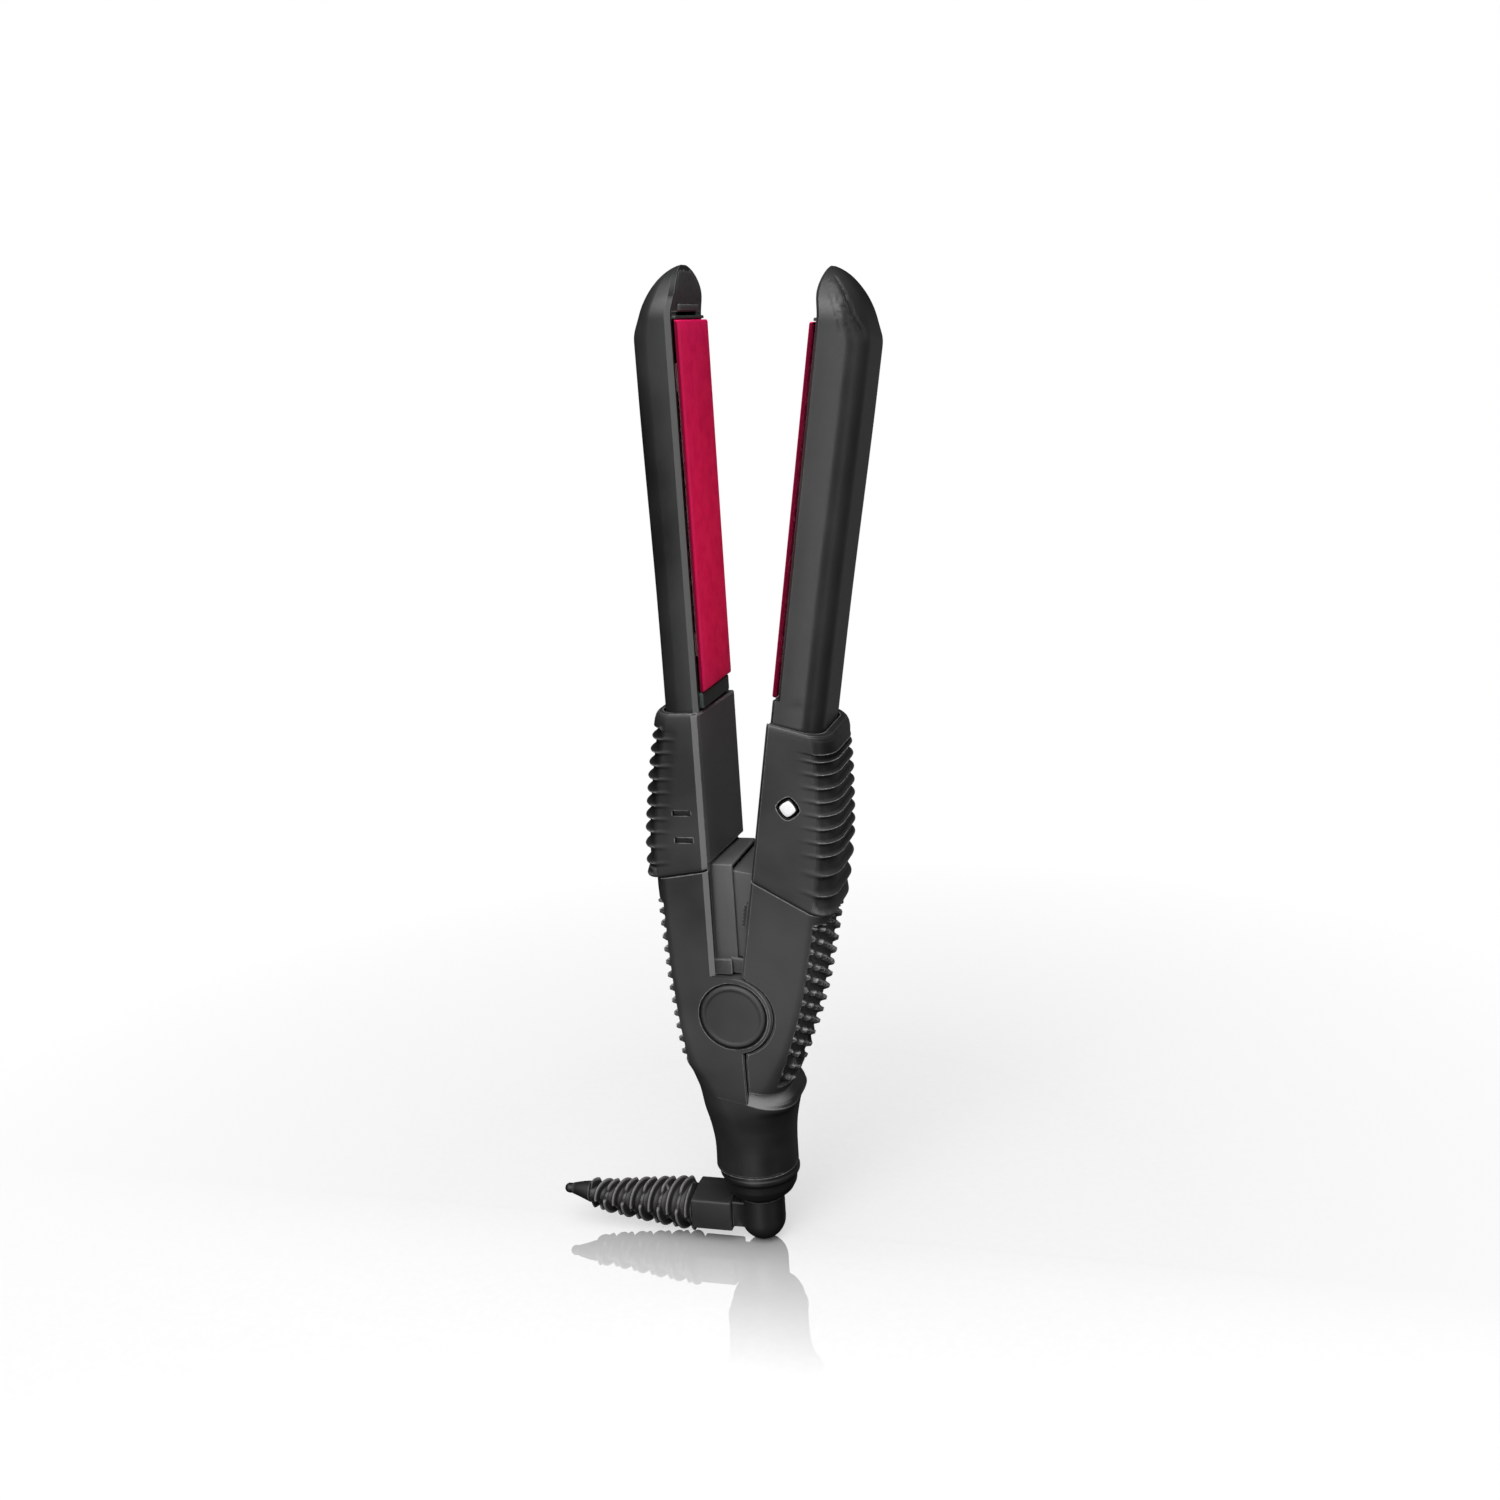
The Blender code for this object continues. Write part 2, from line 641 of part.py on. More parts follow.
def grip_sleeve(arm):
    """The ribbed thumb grip: a C-shaped sleeve with rings that fade out on its front and back."""
    edge, end, slope = SHELL_EDGE[arm], GRIP_END[arm], GRIP_END_SLOPE[arm]
    rings = []
    for rise, back in ((0, 1.0), (0.9, 0)):
        outer = curve_at(GRIP_OUTER, end) - 0.4 - back
        rings.append(section(end + rise, edge, outer, GRIP_HALF_WIDTH - 0.3 * back, GRIP_CORNER, slope=slope))
    for k in range(GRIP_RIBS):
        z = FIRST_RIB[arm] + k * RIB_PITCH
        for offset, height in ((0, 0), (RIB_PITCH * 0.35, RIB_HEIGHT)):
            outer = curve_at(GRIP_OUTER, z + offset) - RIB_HEIGHT / 2 + height
            corner = (GRIP_CORNER[0] + height * 0.6, GRIP_CORNER[1] + height * 0.4)
            rings.append(section(z + offset, edge, outer, GRIP_HALF_WIDTH, corner))
    top, slope = GRIP_TOP[arm], GRIP_TOP_SLOPE[arm]
    rings.append(section(top - 2, edge, 16.0, GRIP_HALF_WIDTH, (4.6, 7.4), slope=slope))
    rings.append(section(top, edge, 14.9, GRIP_HALF_WIDTH - 0.3, (4.6, 6.8), slope=slope))
    return cut(loft(rings), sleeve_cavity(arm))


def sleeve_cavity(arm):
    inside = CORE_HALF_WIDTH + 0.3
    rings = []
    for z in (GRIP_END[arm] - 9, 43, 50, 58, CORE_TOP + 0.2):
        outer = curve_at(GRIP_OUTER, max(z, 36)) - 2.6 + 0.3
        rings.append(section(z, 0, outer, inside, CORE_CORNER, (0.3, 0.3)))
    for z in (CORE_TOP + 0.8, GRIP_TOP[arm] + 1):
        outer = curve_at(BARREL_OUTER, z) + 0.3
        rings.append(section(z, 0, outer, inside, BARREL_CORNER, (0.3, 0.3)))
    return loft(rings)


def fixed_grip_sleeve():
    slots = [box((x - 2.25, x + 2.25), (-16, -13.3), (z - 0.5, z + 0.5)) for x, z in WINDOWS]
    return cut(grip_sleeve("fixed"), *slots)


def moving_grip_sleeve():
    return cut(grip_sleeve("moving"), lens_prism(LENS_HALF + 0.3, (-16, -11)))


def cover_plate(arm):
    """The flat inner face of a handle, with bevelled long edges."""
    face, back = COVER_FACE[arm], COVER_BACK[arm]
    ends = (COVER_BOTTOM, GRIP_TOP[arm] - 0.4)
    return loft([section(z, face, back, 14.2, (0.1, 0.1), (0.7, 0.7), 1) for z in ends])


def hollow_box(size, reach, floor):
    half, wall = size["half_width"], size["wall"]
    body = box((reach, floor + wall), (-half, half), (size["bottom"], size["top"]))
    inside = box((reach - 1, floor), (wall - half, half - wall), (size["bottom"] + wall, size["top"] - wall))
    return body, inside


def fixed_inner_cover():
    """The outer box stands on a lower step of the cover."""
    body, inside = hollow_box(OUTER_BOX, OUTER_BOX_REACH, BOX_FLOOR)
    step = box((0, COVER_STEP_FACE), (-15, 15), (COVER_BOTTOM - 1, COVER_STEP))
    return cut(join(cut(cover_plate("fixed"), step), body), inside)


def moving_inner_cover():
    """The inner box stands in a recess that takes the outer box's edge when the arms close."""
    half = OUTER_BOX["half_width"] + 0.3
    ends = (OUTER_BOX["bottom"] - 0.4, OUTER_BOX["top"] + 0.4)
    floor = box((2.0, RECESS_FLOOR + 1.2), (-half - 0.4, half + 0.4), (COVER_BOTTOM, ends[1] + 1.0))
    recess = box((-1, RECESS_FLOOR), (-half, half), ends)
    body, inside = hollow_box(INNER_BOX, INNER_BOX_REACH, BOX_FLOOR)
    slot = box((0, 6), (-12.5, -11.5), (SLIDER[0] + 0.6, SLIDER[1] - 0.6 + SLIDER_TRAVEL))
    cover = cut(join(cover_plate("moving"), floor), recess, slot)
    return cut(join(cover, body), inside)


def lens_prism(half, y):
    """A diamond with rounded corners, across the arm at the indicator."""
    x, z = LENS_CENTRE
    outline = []
    for corner in range(4):
        facing = math.radians(90 * corner)
        for turn in (-40, 0, 40):
            radius = half * (0.86 if turn else 1.0)
            angle = facing + math.radians(turn * 0.62)
            outline.append((x + radius * math.cos(angle), z + radius * math.sin(angle)))
    return plate_shape(outline, y)


def lock_slider():
    """A ribbed thumb pad, a stem through the cover's slot and a foot behind it."""
    y = (-12.9, -10.9)
    rings = []
    for k in range(13):
        z = SLIDER[0] + (SLIDER[1] - SLIDER[0]) * k / 12
        face = -0.5 if k % 2 else -0.1
        rings.append([(face, y[0], z), (0.7, y[0], z), (0.7, y[1], z), (face, y[1], z)])
    stem = box((0.4, 3.2), (-12.3, -11.7), (SLIDER[0] + 1.2, SLIDER[1] - 1.2))
    foot = box((2.8, 3.6), (-12.3, -11.5), (SLIDER[0] + 0.6, SLIDER[1] - 0.6))
    return join(loft(rings), stem, foot)


# ---- insides ----


def return_spring():
    """A compression coil between the two box floors, at the open length."""
    start = Vector((0.4 - BOX_FLOOR, 0, SPRING_HEIGHT))
    floor = Vector((BOX_FLOOR - 0.4, 0, SPRING_HEIGHT))
    end = Matrix.Rotation(OPEN_ANGLE, 3, "Y") @ floor
    along = (end - start).normalized()
    side = Vector((0, 1, 0))
    other = along.cross(side)
    wire = 0.5
    length = (end - start).length - 2 * wire
    path = []
    per_turn = 8
    for k in range(SPRING_TURNS * per_turn + 1):
        angle = 2 * math.pi * k / per_turn
        middle = start + along * (wire + length * k / (SPRING_TURNS * per_turn))
        path.append(middle + SPRING_RADIUS * (side * math.cos(angle) + other * math.sin(angle)))
    return tube(path, wire, 5)


def fixed_lead(y):
    path = [(6.2, -30.6), (9.5, -22), (12.3, -8), (12.6, 20), (12.2, 45), (10.2, 68), (9.6, 84)]
    return tube([(x, y, z) for x, z in path], 0.8)


def moving_lead(y):
    return tube([(11.0, y, 64.8), (10.2, y, 70), (9.4, y, 84)], 0.8)


def thermal_fuse():
    return moved(rod(1.7, (92, 103), 12), (7.2, 0, 0))


def thermistor():
    return moved(rod(1.2, (118, 122), 10), (6.2, 0, 0))


def circuit_board():
    board = box((6.0, 12.4), (-4.4, -3.0), (41, 64))
    chip = box((7, 11), (-3.2, -0.6), (44, 50))
    drum = across(rod(2.4, (-3.2, 3.5), 10), 9.2, 58)
    return join(board, chip, drum)


def indicator_led():
    x, z = LENS_CENTRE
    return across(turned([(0, -9.9), (0.9, -9.7), (1.5, -9.0), (1.5, -4.7), (0, -4.7)], 12), x, z)


def indicator_lens():
    return lens_prism(LENS_HALF, (-14.7, -10.4))


# ---- swivel outlet ----


def swivel_collar():
    hole = NECK_RADIUS + 0.3
    profile = [(hole, CUP_BOTTOM - 0.3), (9.6, CUP_BOTTOM - 0.3)]
    profile += [(SWIVEL_RADIUS, -46.2), (SWIVEL_RADIUS, -47.4), (9.7, -48.0), (9.3, -50.2)]
    profile += [(8.3, -52.0), (6.6, COLLAR_BOTTOM), (hole, COLLAR_BOTTOM)]
    return turned(profile, 32)


def swivel_elbow():
    groove = 3.6
    profile = [(0, -33.6), (SHAFT_RADIUS, -33.6), (SHAFT_RADIUS, -41.5), (NECK_RADIUS, -41.5)]
    profile += [(NECK_RADIUS, -41.9), (groove, -41.9), (groove, -43.0)]
    profile += [(NECK_RADIUS, -43.0), (NECK_RADIUS, KNOB_TOP)]
    profile += [(KNOB_RADIUS, KNOB_TOP), (KNOB_RADIUS, KNOB_DOME)]
    for degrees in (22, 45, 68):
        angle = math.radians(degrees)
        profile.append((KNOB_RADIUS * math.cos(angle), KNOB_DOME - KNOB_RADIUS * math.sin(angle)))
    profile.append((0, KNOB_DOME - KNOB_RADIUS))
    block = loft([root_ring(x) for x in (-ROOT_BLOCK_REACH, -2)])
    return join(turned(profile, 24), block)


def root_ring(x):
    half_y, half_z = ROOT_BLOCK_HALF
    edge = 0.8
    loop = quarter((half_y - edge, half_z - edge), (edge, edge), 0, 2)
    loop += quarter((edge - half_y, half_z - edge), (edge, edge), 90, 2)
    loop += quarter((edge - half_y, edge - half_z), (edge, edge), 180, 2)
    loop += quarter((half_y - edge, edge - half_z), (edge, edge), 270, 2)
    return [(x, y, CORD_HEIGHT - 0.3 + z) for y, z in loop]


def strain_relief_boot():
    """A tapering boot of ribs and grooves, ending in a pointed nozzle round the cord."""
    profile = [(CORD_RADIUS + 0.3, 0)]
    pitch = BOOT_LENGTH / BOOT_RIBS
    for k in range(BOOT_RIBS):
        radius = BOOT_ROOT_RADIUS + (BOOT_TIP_RADIUS - BOOT_ROOT_RADIUS) * (k / (BOOT_RIBS - 1)) ** 1.3
        start = k * pitch
        profile += [(radius, start), (radius - 0.3, start + pitch * 0.55)]
        profile += [(radius - 1.3, start + pitch * 0.6), (radius - 1.4, start + pitch * 0.95)]
    profile += [(2.9, BOOT_LENGTH + 0.4), (2.3, BOOT_LENGTH + 3.5), (CORD_RADIUS + 0.5, BOOT_LENGTH + 6)]
    profile.append((CORD_RADIUS + 0.3, BOOT_LENGTH + 6))
    boot = turned(profile, 18)
    start = -(ROOT_BLOCK_REACH + 0.3)
    return moved(boot, (start, 0, CORD_HEIGHT), Matrix.Rotation(-math.pi / 2, 4, "Y"))


def cord():
    return tube([(-(ROOT_BLOCK_REACH + 0.6), 0, CORD_HEIGHT), (-CORD_END, 0, CORD_HEIGHT)], CORD_RADIUS, 12)


def contact_carrier():
    return ring(4.0, 8.0, (-33.0, -31.4), 24)


def brush(side, bottom):
    """A leaf contact that hangs from the carrier beside its slip ring."""
    x = sorted((side * 5.1, side * 5.8))
    foot = sorted((side * 5.1, side * 7.6))
    leaf = box(x, (-1.4, 1.4), (bottom, -33.3))
    return join(leaf, box(foot, (-1.4, 1.4), (-34.0, -33.3)))


# ---- assembly ----


def place_behind_plate(name, bm, arm, frame, finish):
    """Place an arm's piece whose depth is measured from its plate's face."""
    place(f"{arm}_{name}", moved(bm, (PLATE_FACE[arm], 0, 0)), frame, finish, arm == "fixed")


def build_barrel(arm, frame):
    mirror = arm == "fixed"
    place(f"{arm}_barrel_shell", barrel_shell(arm), frame, BLACK, mirror)
    place(f"{arm}_tip_insert", tip_insert(arm), frame, GRIP_BLACK, mirror)
    place_behind_plate("plate", heating_plate(), arm, frame, PLATE_RED)
    place_behind_plate("heater", heater(), arm, frame, CERAMIC)
    place_behind_plate("heater_clip", heater_clip(), arm, frame, STEEL)
    place_behind_plate("plate_carrier", plate_carrier(), arm, frame, CARRIER_BLACK)
    for end, pad, fixing in zip(("lower", "upper"), PAD_HEIGHTS, CARRIER_SCREWS):
        place_behind_plate(f"float_pad_{end}", float_pad(pad), arm, frame, SILICONE)
        place_behind_plate(f"carrier_screw_{end}", screw(fixing, 3.8), arm, frame, STEEL)


def build_fixed_arm(frame):
    build_barrel("fixed", frame)
    place("fixed_handle_shell", fixed_handle_shell(), frame, BLACK, True)
    place("fixed_grip_sleeve", fixed_grip_sleeve(), frame, GRIP_BLACK, True)
    place("fixed_inner_cover", fixed_inner_cover(), frame, BLACK, True)
    place("fixed_lead_live", fixed_lead(-3.5), frame, LEAD_WHITE, True)
    place("fixed_lead_neutral", fixed_lead(3.5), frame, LEAD_WHITE, True)
    place_behind_plate("thermal_fuse", thermal_fuse(), "fixed", frame, STEEL)
    place("return_spring", return_spring(), frame, STEEL)


def build_moving_arm(frame):
    build_barrel("moving", frame)
    place("moving_handle_shell", moving_handle_shell(), frame, BLACK)
    place("moving_grip_sleeve", moving_grip_sleeve(), frame, GRIP_BLACK)
    place("moving_inner_cover", moving_inner_cover(), frame, BLACK)
    place("moving_lead_live", moving_lead(-3.5), frame, LEAD_WHITE)
    place("moving_lead_neutral", moving_lead(3.5), frame, LEAD_WHITE)
    place("circuit_board", circuit_board(), frame, BOARD_GREEN)
    place("indicator_led", indicator_led(), frame, LAMP_WHITE)
    place("indicator_lens", indicator_lens(), frame, LAMP_WHITE)
    place_behind_plate("thermistor", thermistor(), "moving", frame, CERAMIC)
    place("lock_slider", lock_slider(), frame, SWIVEL_BLACK)


def build_pivot(frame):
    for name, side in (("front", -1), ("rear", 1)):
        cap = sorted((side * CAP_FACE, side * (CAP_FACE - CAP_THICKNESS)))
        place(f"pivot_cap_{name}", across(rod(CAP_RADIUS, cap, 32)), frame, BLACK)
        washer = sorted((side * 10.4, side * 10.8))
        place(f"pivot_washer_{name}", across(ring(PIN_RADIUS + 0.3, 5.5, washer, 20)), frame, STEEL)
    place("pivot_pin", across(rod(PIN_RADIUS, (-12.4, 12.4), 20)), frame, STEEL)
    place("pivot_bush", across(ring(PIN_RADIUS + 0.3, 4.6, (-7.3, 7.3), 20)), frame, BRASS)


def build_outlet(frame, swivel):
    place("swivel_collar", swivel_collar(), frame, SWIVEL_BLACK)
    place("contact_carrier", contact_carrier(), frame, CARRIER_BLACK)
    place("contact_brush_live", brush(1, -40.2), frame, BRASS)
    place("contact_brush_neutral", brush(-1, -37.0), frame, BRASS)
    place("swivel_elbow", swivel_elbow(), swivel, SWIVEL_BLACK)
    place("slip_ring_lower", ring(SHAFT_RADIUS + 0.3, 4.8, (-40.6, -38.6), 20), swivel, BRASS)
    place("slip_ring_upper", ring(SHAFT_RADIUS + 0.3, 4.8, (-37.4, -35.4), 20), swivel, BRASS)
    place("retaining_clip", ring(3.9, 6.4, (-42.75, -42.15), 20), swivel, STEEL)
    place("strain_relief_boot", strain_relief_boot(), swivel, RUBBER)
    place("power_cord", cord(), swivel, RUBBER)


def main():
    for old in list(bpy.data.objects):
        bpy.data.objects.remove(old)
    fixed = empty("fixed_frame", (0, -CAP_FACE * MM, 0))
    moving = empty("moving_frame", parent=fixed, turn=OPEN_ANGLE)
    swivel = empty("swivel_frame", parent=fixed)
    build_fixed_arm(fixed)
    build_moving_arm(moving)
    build_pivot(fixed)
    build_outlet(fixed, swivel)


main()
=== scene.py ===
"""Mini hair iron: finely shaped outer pieces, materials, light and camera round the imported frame.

Lengths are millimetres in each arm's own frame, as in the CAD: x outwards from the plane where the
plates meet, y across the arm (front is -y) and z along the arm from the pivot axis. put() turns a
finished shape into metres in the row frame and hands it to its body.
"""

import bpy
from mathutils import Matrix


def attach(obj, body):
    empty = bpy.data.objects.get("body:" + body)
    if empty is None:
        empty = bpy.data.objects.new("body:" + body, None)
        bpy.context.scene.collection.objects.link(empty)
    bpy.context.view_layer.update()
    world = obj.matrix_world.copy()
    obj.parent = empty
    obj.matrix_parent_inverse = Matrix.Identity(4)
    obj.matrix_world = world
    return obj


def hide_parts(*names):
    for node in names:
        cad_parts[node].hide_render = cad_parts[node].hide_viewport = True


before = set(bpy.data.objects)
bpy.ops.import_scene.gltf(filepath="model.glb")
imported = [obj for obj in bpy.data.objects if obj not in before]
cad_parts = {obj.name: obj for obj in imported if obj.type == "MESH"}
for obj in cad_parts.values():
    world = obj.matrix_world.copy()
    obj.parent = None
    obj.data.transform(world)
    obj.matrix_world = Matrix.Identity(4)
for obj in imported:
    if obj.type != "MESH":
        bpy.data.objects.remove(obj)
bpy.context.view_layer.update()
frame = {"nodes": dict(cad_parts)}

import math

import bmesh
import bpy
from mathutils import Matrix, Vector, noise

MM = 0.001
OPEN_ANGLE = math.radians(9.2)
MIDDLE = 14.7
SHARP_ANGLE = 40

# Inner side of each arm, outwards from the plane through the pivot axis
PLATE_FACE = {"fixed": 2.3, "moving": 1.1}
COVER_FACE = {"fixed": 2.2, "moving": 1.0}
COVER_BACK = {"fixed": 4.1, "moving": 2.5}
WALL_EDGE = {"fixed": 3.9, "moving": 1.0}
EDGE_BEVEL = {"fixed": (1.1, 0.85), "moving": (0.7, 0.6)}
COVER_HALF = 13.0

# Barrel
BARREL_HALF = 12.5
BARREL_BOTTOM = 66.5
BARREL_OUTER = ((60, 13.2), (100, 13.3), (140, 13.9), (156, 14.0))
NOSE_START = 157.0
NOSE_WIDTH_START = 161.5
TIP = 173.0
RIM_STEP = 1.6
FACE_STEP = 0.4
PLATE_ENDS = (78.6, 161.2)
PLATE_HALF = 11.7
PLATE_THICKNESS = 0.75

# Grip sleeve
GRIP_TOP = {"fixed": 74.2, "moving": 73.0}
GRIP_TOP_SLOPE = {"fixed": 0.0, "moving": -0.1}
GRIP_OUTER = ((30, 19.9), (36, 20.7), (42, 20.7), (52, 19.6), (62, 18.1), (70, 16.4), (74, 14.6))
GRIP_HALF = 14.3
GRIP_CORNER = (4.8, 9.0)
GRIP_END = {"fixed": 37.1, "moving": 35.3}
GRIP_END_SLOPE = {"fixed": -0.165, "moving": -0.36}
FIRST_RIB = {"fixed": 38.4, "moving": 36.4}
RIB_PITCH = 3.2
RIB_DEPTH = 1.15
GRIP_RIBS = 10
GRIP_SLOTS = ((9.0, 50.5), (8.9, 43.9))

# Handle
CORE_TOP = 66.0
CORE_HALF = 12.8
CORE_CORNER = (4.4, 7.8)
HANDLE_OUTER = {
    "fixed": ((-46, 10.8), (-38, 10.8), (-26, 12.2), (-16, 14.6), (-5, 16.1))
    + ((6, 17.1), (18, 17.8), (34, 18.3)),
    "moving": ((-26, 12.3), (-16, 15.0), (-5, 17.2), (6, 18.6), (18, 19.2), (34, 19.4)),
}
HANDLE_HALF = ((-46, 10.3), (-38, 10.4), (-33, 11.2), (-26, 12.9), (-18, 13.9), (-10, 14.2), (34, 14.2))
CORNER_DEPTH = ((-46, 10.0), (-36, 10.0), (-26, 8.6), (-16, 6.0), (-4, 4.6), (34, 4.2))
CORNER_WIDTH = ((-46, 10.0), (-36, 10.0), (-24, 9.8), (-10, 9.0), (34, 9.0))
LOBE_RADIUS = 9.7
LOBE_GAP = 0.3
BASE_WALL = 2.0
LEDGE = -19.9
LEDGE_SLOPE = 0.22
LEDGE_BEVEL = (3.3, 1.9)
CUP_OUTER = ((-46, 9.7), (-36, 9.8), (-30, 10.6), (-22, 12.3))
CUP_BOTTOM = -45.0
TAIL_BOTTOM = -19.0
STUD_PITCH = 3.3
STUD_HEIGHT = 1.3

# Inner boxes
OUTER_BOX = dict(half=10.6, ends=(12.0, 37.0), reach=-1.2, wall=0.7)
INNER_BOX = dict(half=9.6, ends=(13.6, 35.0), reach=-5.0, wall=1.2)
BOX_FLOOR = 8.0
SLIDER = (22.8, 28.4)

# Outlet
KNOB_RADIUS = 5.7
KNOB_DOME = -60.8
CORD_HEIGHT = -58.8
BLOCK_REACH = 17.6
BOOT_ROOT = BLOCK_REACH + 0.3
BOOT_LENGTH = 28.0
BOOT_RIBS = 11
CORD_RADIUS = 1.3
CORD_END = 54.0
LENS_CENTRE = (8.05, 54.0)
LENS_HALF = 2.5


# ---- curves ----


def ease(t):
    t = min(max(t, 0.0), 1.0)
    return t * t * (3 - 2 * t)


def slope_at(points, i):
    lower = points[max(i - 1, 0)]
    upper = points[min(i + 1, len(points) - 1)]
    return (upper[1] - lower[1]) / (upper[0] - lower[0])


def curve_at(points, z):
    """Height of a smooth curve through (z, value) points, held level past its ends."""
    if z <= points[0][0]:
        return points[0][1]
    for i in range(len(points) - 1):
        (z0, v0), (z1, v1) = points[i], points[i + 1]
        if z <= z1:
            step = z1 - z0
            t = (z - z0) / step
            rise = v1 - v0
            start = slope_at(points, i) * step
            end = slope_at(points, i + 1) * step
            return v0 + t * (start + t * (3 * rise - 2 * start - end + t * (start + end - 2 * rise)))
    return points[-1][1]


def steps(start, end, size):
    """Evenly spaced numbers from start to end, at most size apart."""
    count = max(1, math.ceil(abs(end - start) / size))
    return [start + (end - start) * k / count for k in range(count + 1)]


def quarter(centre, radii, start, count):
    angles = [math.radians(start + 90 * k / count) for k in range(count + 1)]
    return [(centre[0] + radii[0] * math.cos(a), centre[1] + radii[1] * math.sin(a)) for a in angles]


def between(a, b, count):
    """Points inside the straight line from a to b, without its ends."""
    return [(a[0] + (b[0] - a[0]) * k / count, a[1] + (b[1] - a[1]) * k / count) for k in range(1, count)]


def run(a, b, count):
    """Points inside the straight line from a to b, with one close to each end to keep corners crisp."""
    length = math.hypot(b[0] - a[0], b[1] - a[1])
    tight = min(0.3, 0.07 / length) if length > 1e-6 else 0.3
    shares = [tight] + [k / count for k in range(1, count)] + [1 - tight]
    return [(a[0] + (b[0] - a[0]) * t, a[1] + (b[1] - a[1]) * t) for t in shares]


def section(z, inner, outer, half, corner, edge, slope=0.0, crown=0.0, relief=None, round_edge=False):
    """A dense loop round an arm: flat bevels beside the inner side, round outer corners, a crowned
    front and rear, and a relief that lifts points off the surface."""
    arc = quarter((outer - corner[0], corner[1] - half), corner, -90, 18)
    far_arc = [(x, -y) for x, y in reversed(arc)]
    start, low = (inner + edge[0], -half), (inner, edge[1] - half)
    mirror_start, high = (start[0], half), (inner, half - edge[1])
    points = [start] + run(start, arc[0], 12) + arc
    points += run(arc[-1], far_arc[0], 12) + far_arc
    points += run(far_arc[-1], mirror_start, 12) + [mirror_start]
    if round_edge:
        points += quarter((inner + edge[0], half - edge[1]), edge, 90, 14)[1:]
        points += run(high, low, 10) + quarter((inner + edge[0], edge[1] - half), edge, 180, 14)[:-1]
    else:
        points += run(mirror_start, high, 3) + [high]
        points += run(high, low, 10) + [low] + run(low, start, 3)
    if crown:
        centre = inner + 0.2 * (outer - inner)
        reach = 0.8 * (outer - inner)
        points = [(x, y * (1 - crown * max(0.0, (x - centre) / reach) ** 2)) for x, y in points]
    if relief:
        points = lifted(points, z, relief)
    return [(x, y, z + slope * x) for x, y in points]


def lifted(points, z, relief):
    moved_points = []
    count = len(points)
    for i, (x, y) in enumerate(points):
        x0, y0 = points[i - 1]
        x1, y1 = points[(i + 1) % count]
        length = math.hypot(x1 - x0, y1 - y0) or 1.0
        amount = relief(x, y, z)
        moved_points.append((x + amount * (y1 - y0) / length, y - amount * (x1 - x0) / length))
    return moved_points


# ---- shapes, each a bmesh in millimetres ----


def loft(rings):
    """A closed skin through loops that have the same number of points."""
    bm = bmesh.new()
    loops = [[bm.verts.new(point) for point in ring] for ring in rings]
    count = len(loops[0])
    for lower, upper in zip(loops, loops[1:]):
        for i in range(count):
            j = (i + 1) % count
            bm.faces.new((lower[i], lower[j], upper[j], upper[i]))
    bm.faces.new(loops[0])
    bm.faces.new(loops[-1])
    bmesh.ops.recalc_face_normals(bm, faces=bm.faces)
    return bm


def box(x, y, z):
    return loft([[(x[0], y[0], h), (x[1], y[0], h), (x[1], y[1], h), (x[0], y[1], h)] for h in z])


def turned(profile, sides=96):
    """A solid turned about Z from (radius, height) points; a radius of 0 closes an end."""
    bm = bmesh.new()
    loops = []
    for radius, height in profile:
        if radius == 0:
            loops.append([bm.verts.new((0, 0, height))])
            continue
        turn = [2 * math.pi * k / sides for k in range(sides)]
        loops.append([bm.verts.new((radius * math.cos(a), radius * math.sin(a), height)) for a in turn])
    pairs = list(zip(loops, loops[1:]))
    if profile[0][0] != 0:
        pairs.append((loops[-1], loops[0]))
    for lower, upper in pairs:
        for i in range(sides):
            j = (i + 1) % sides
            below = [lower[i % len(lower)], lower[j % len(lower)]]
            above = [upper[j % len(upper)], upper[i % len(upper)]]
            bm.faces.new(list(dict.fromkeys(below + above)))
    bmesh.ops.recalc_face_normals(bm, faces=bm.faces)
    return bm


def rod(radius, ends, sides=64):
    return turned([(0, ends[0]), (radius, ends[0]), (radius, ends[1]), (0, ends[1])], sides)


def rounded(profile, radius, count=4):
    """The profile with its inner corners rounded."""
    result = [profile[0]]
    for before, here, after in zip(profile, profile[1:], profile[2:]):
        a, b, c = Vector(before), Vector(here), Vector(after)
        reach = min(radius, (a - b).length * 0.45, (c - b).length * 0.45)
        start = b + (a - b).normalized() * reach
        end = b + (c - b).normalized() * reach
        for k in range(count + 1):
            t = k / count
            point = start * (1 - t) ** 2 + b * 2 * t * (1 - t) + end * t * t
            result.append((point.x, point.y))
    return result + [profile[-1]]


def moved(bm, offset=(0, 0, 0), turn=None):
    if turn is not None:
        bmesh.ops.transform(bm, matrix=turn, verts=bm.verts)
    bmesh.ops.translate(bm, vec=offset, verts=bm.verts)
    return bm


def across(bm):
    """A shape made about Z, laid along Y instead."""
    return moved(bm, turn=Matrix.Rotation(-math.pi / 2, 4, "X"))


def temporary(bm):
    mesh = bpy.data.meshes.new("tool")
    bm.to_mesh(mesh)
    bm.free()
    tool = bpy.data.objects.new("tool", mesh)
    bpy.context.scene.collection.objects.link(tool)
    return tool


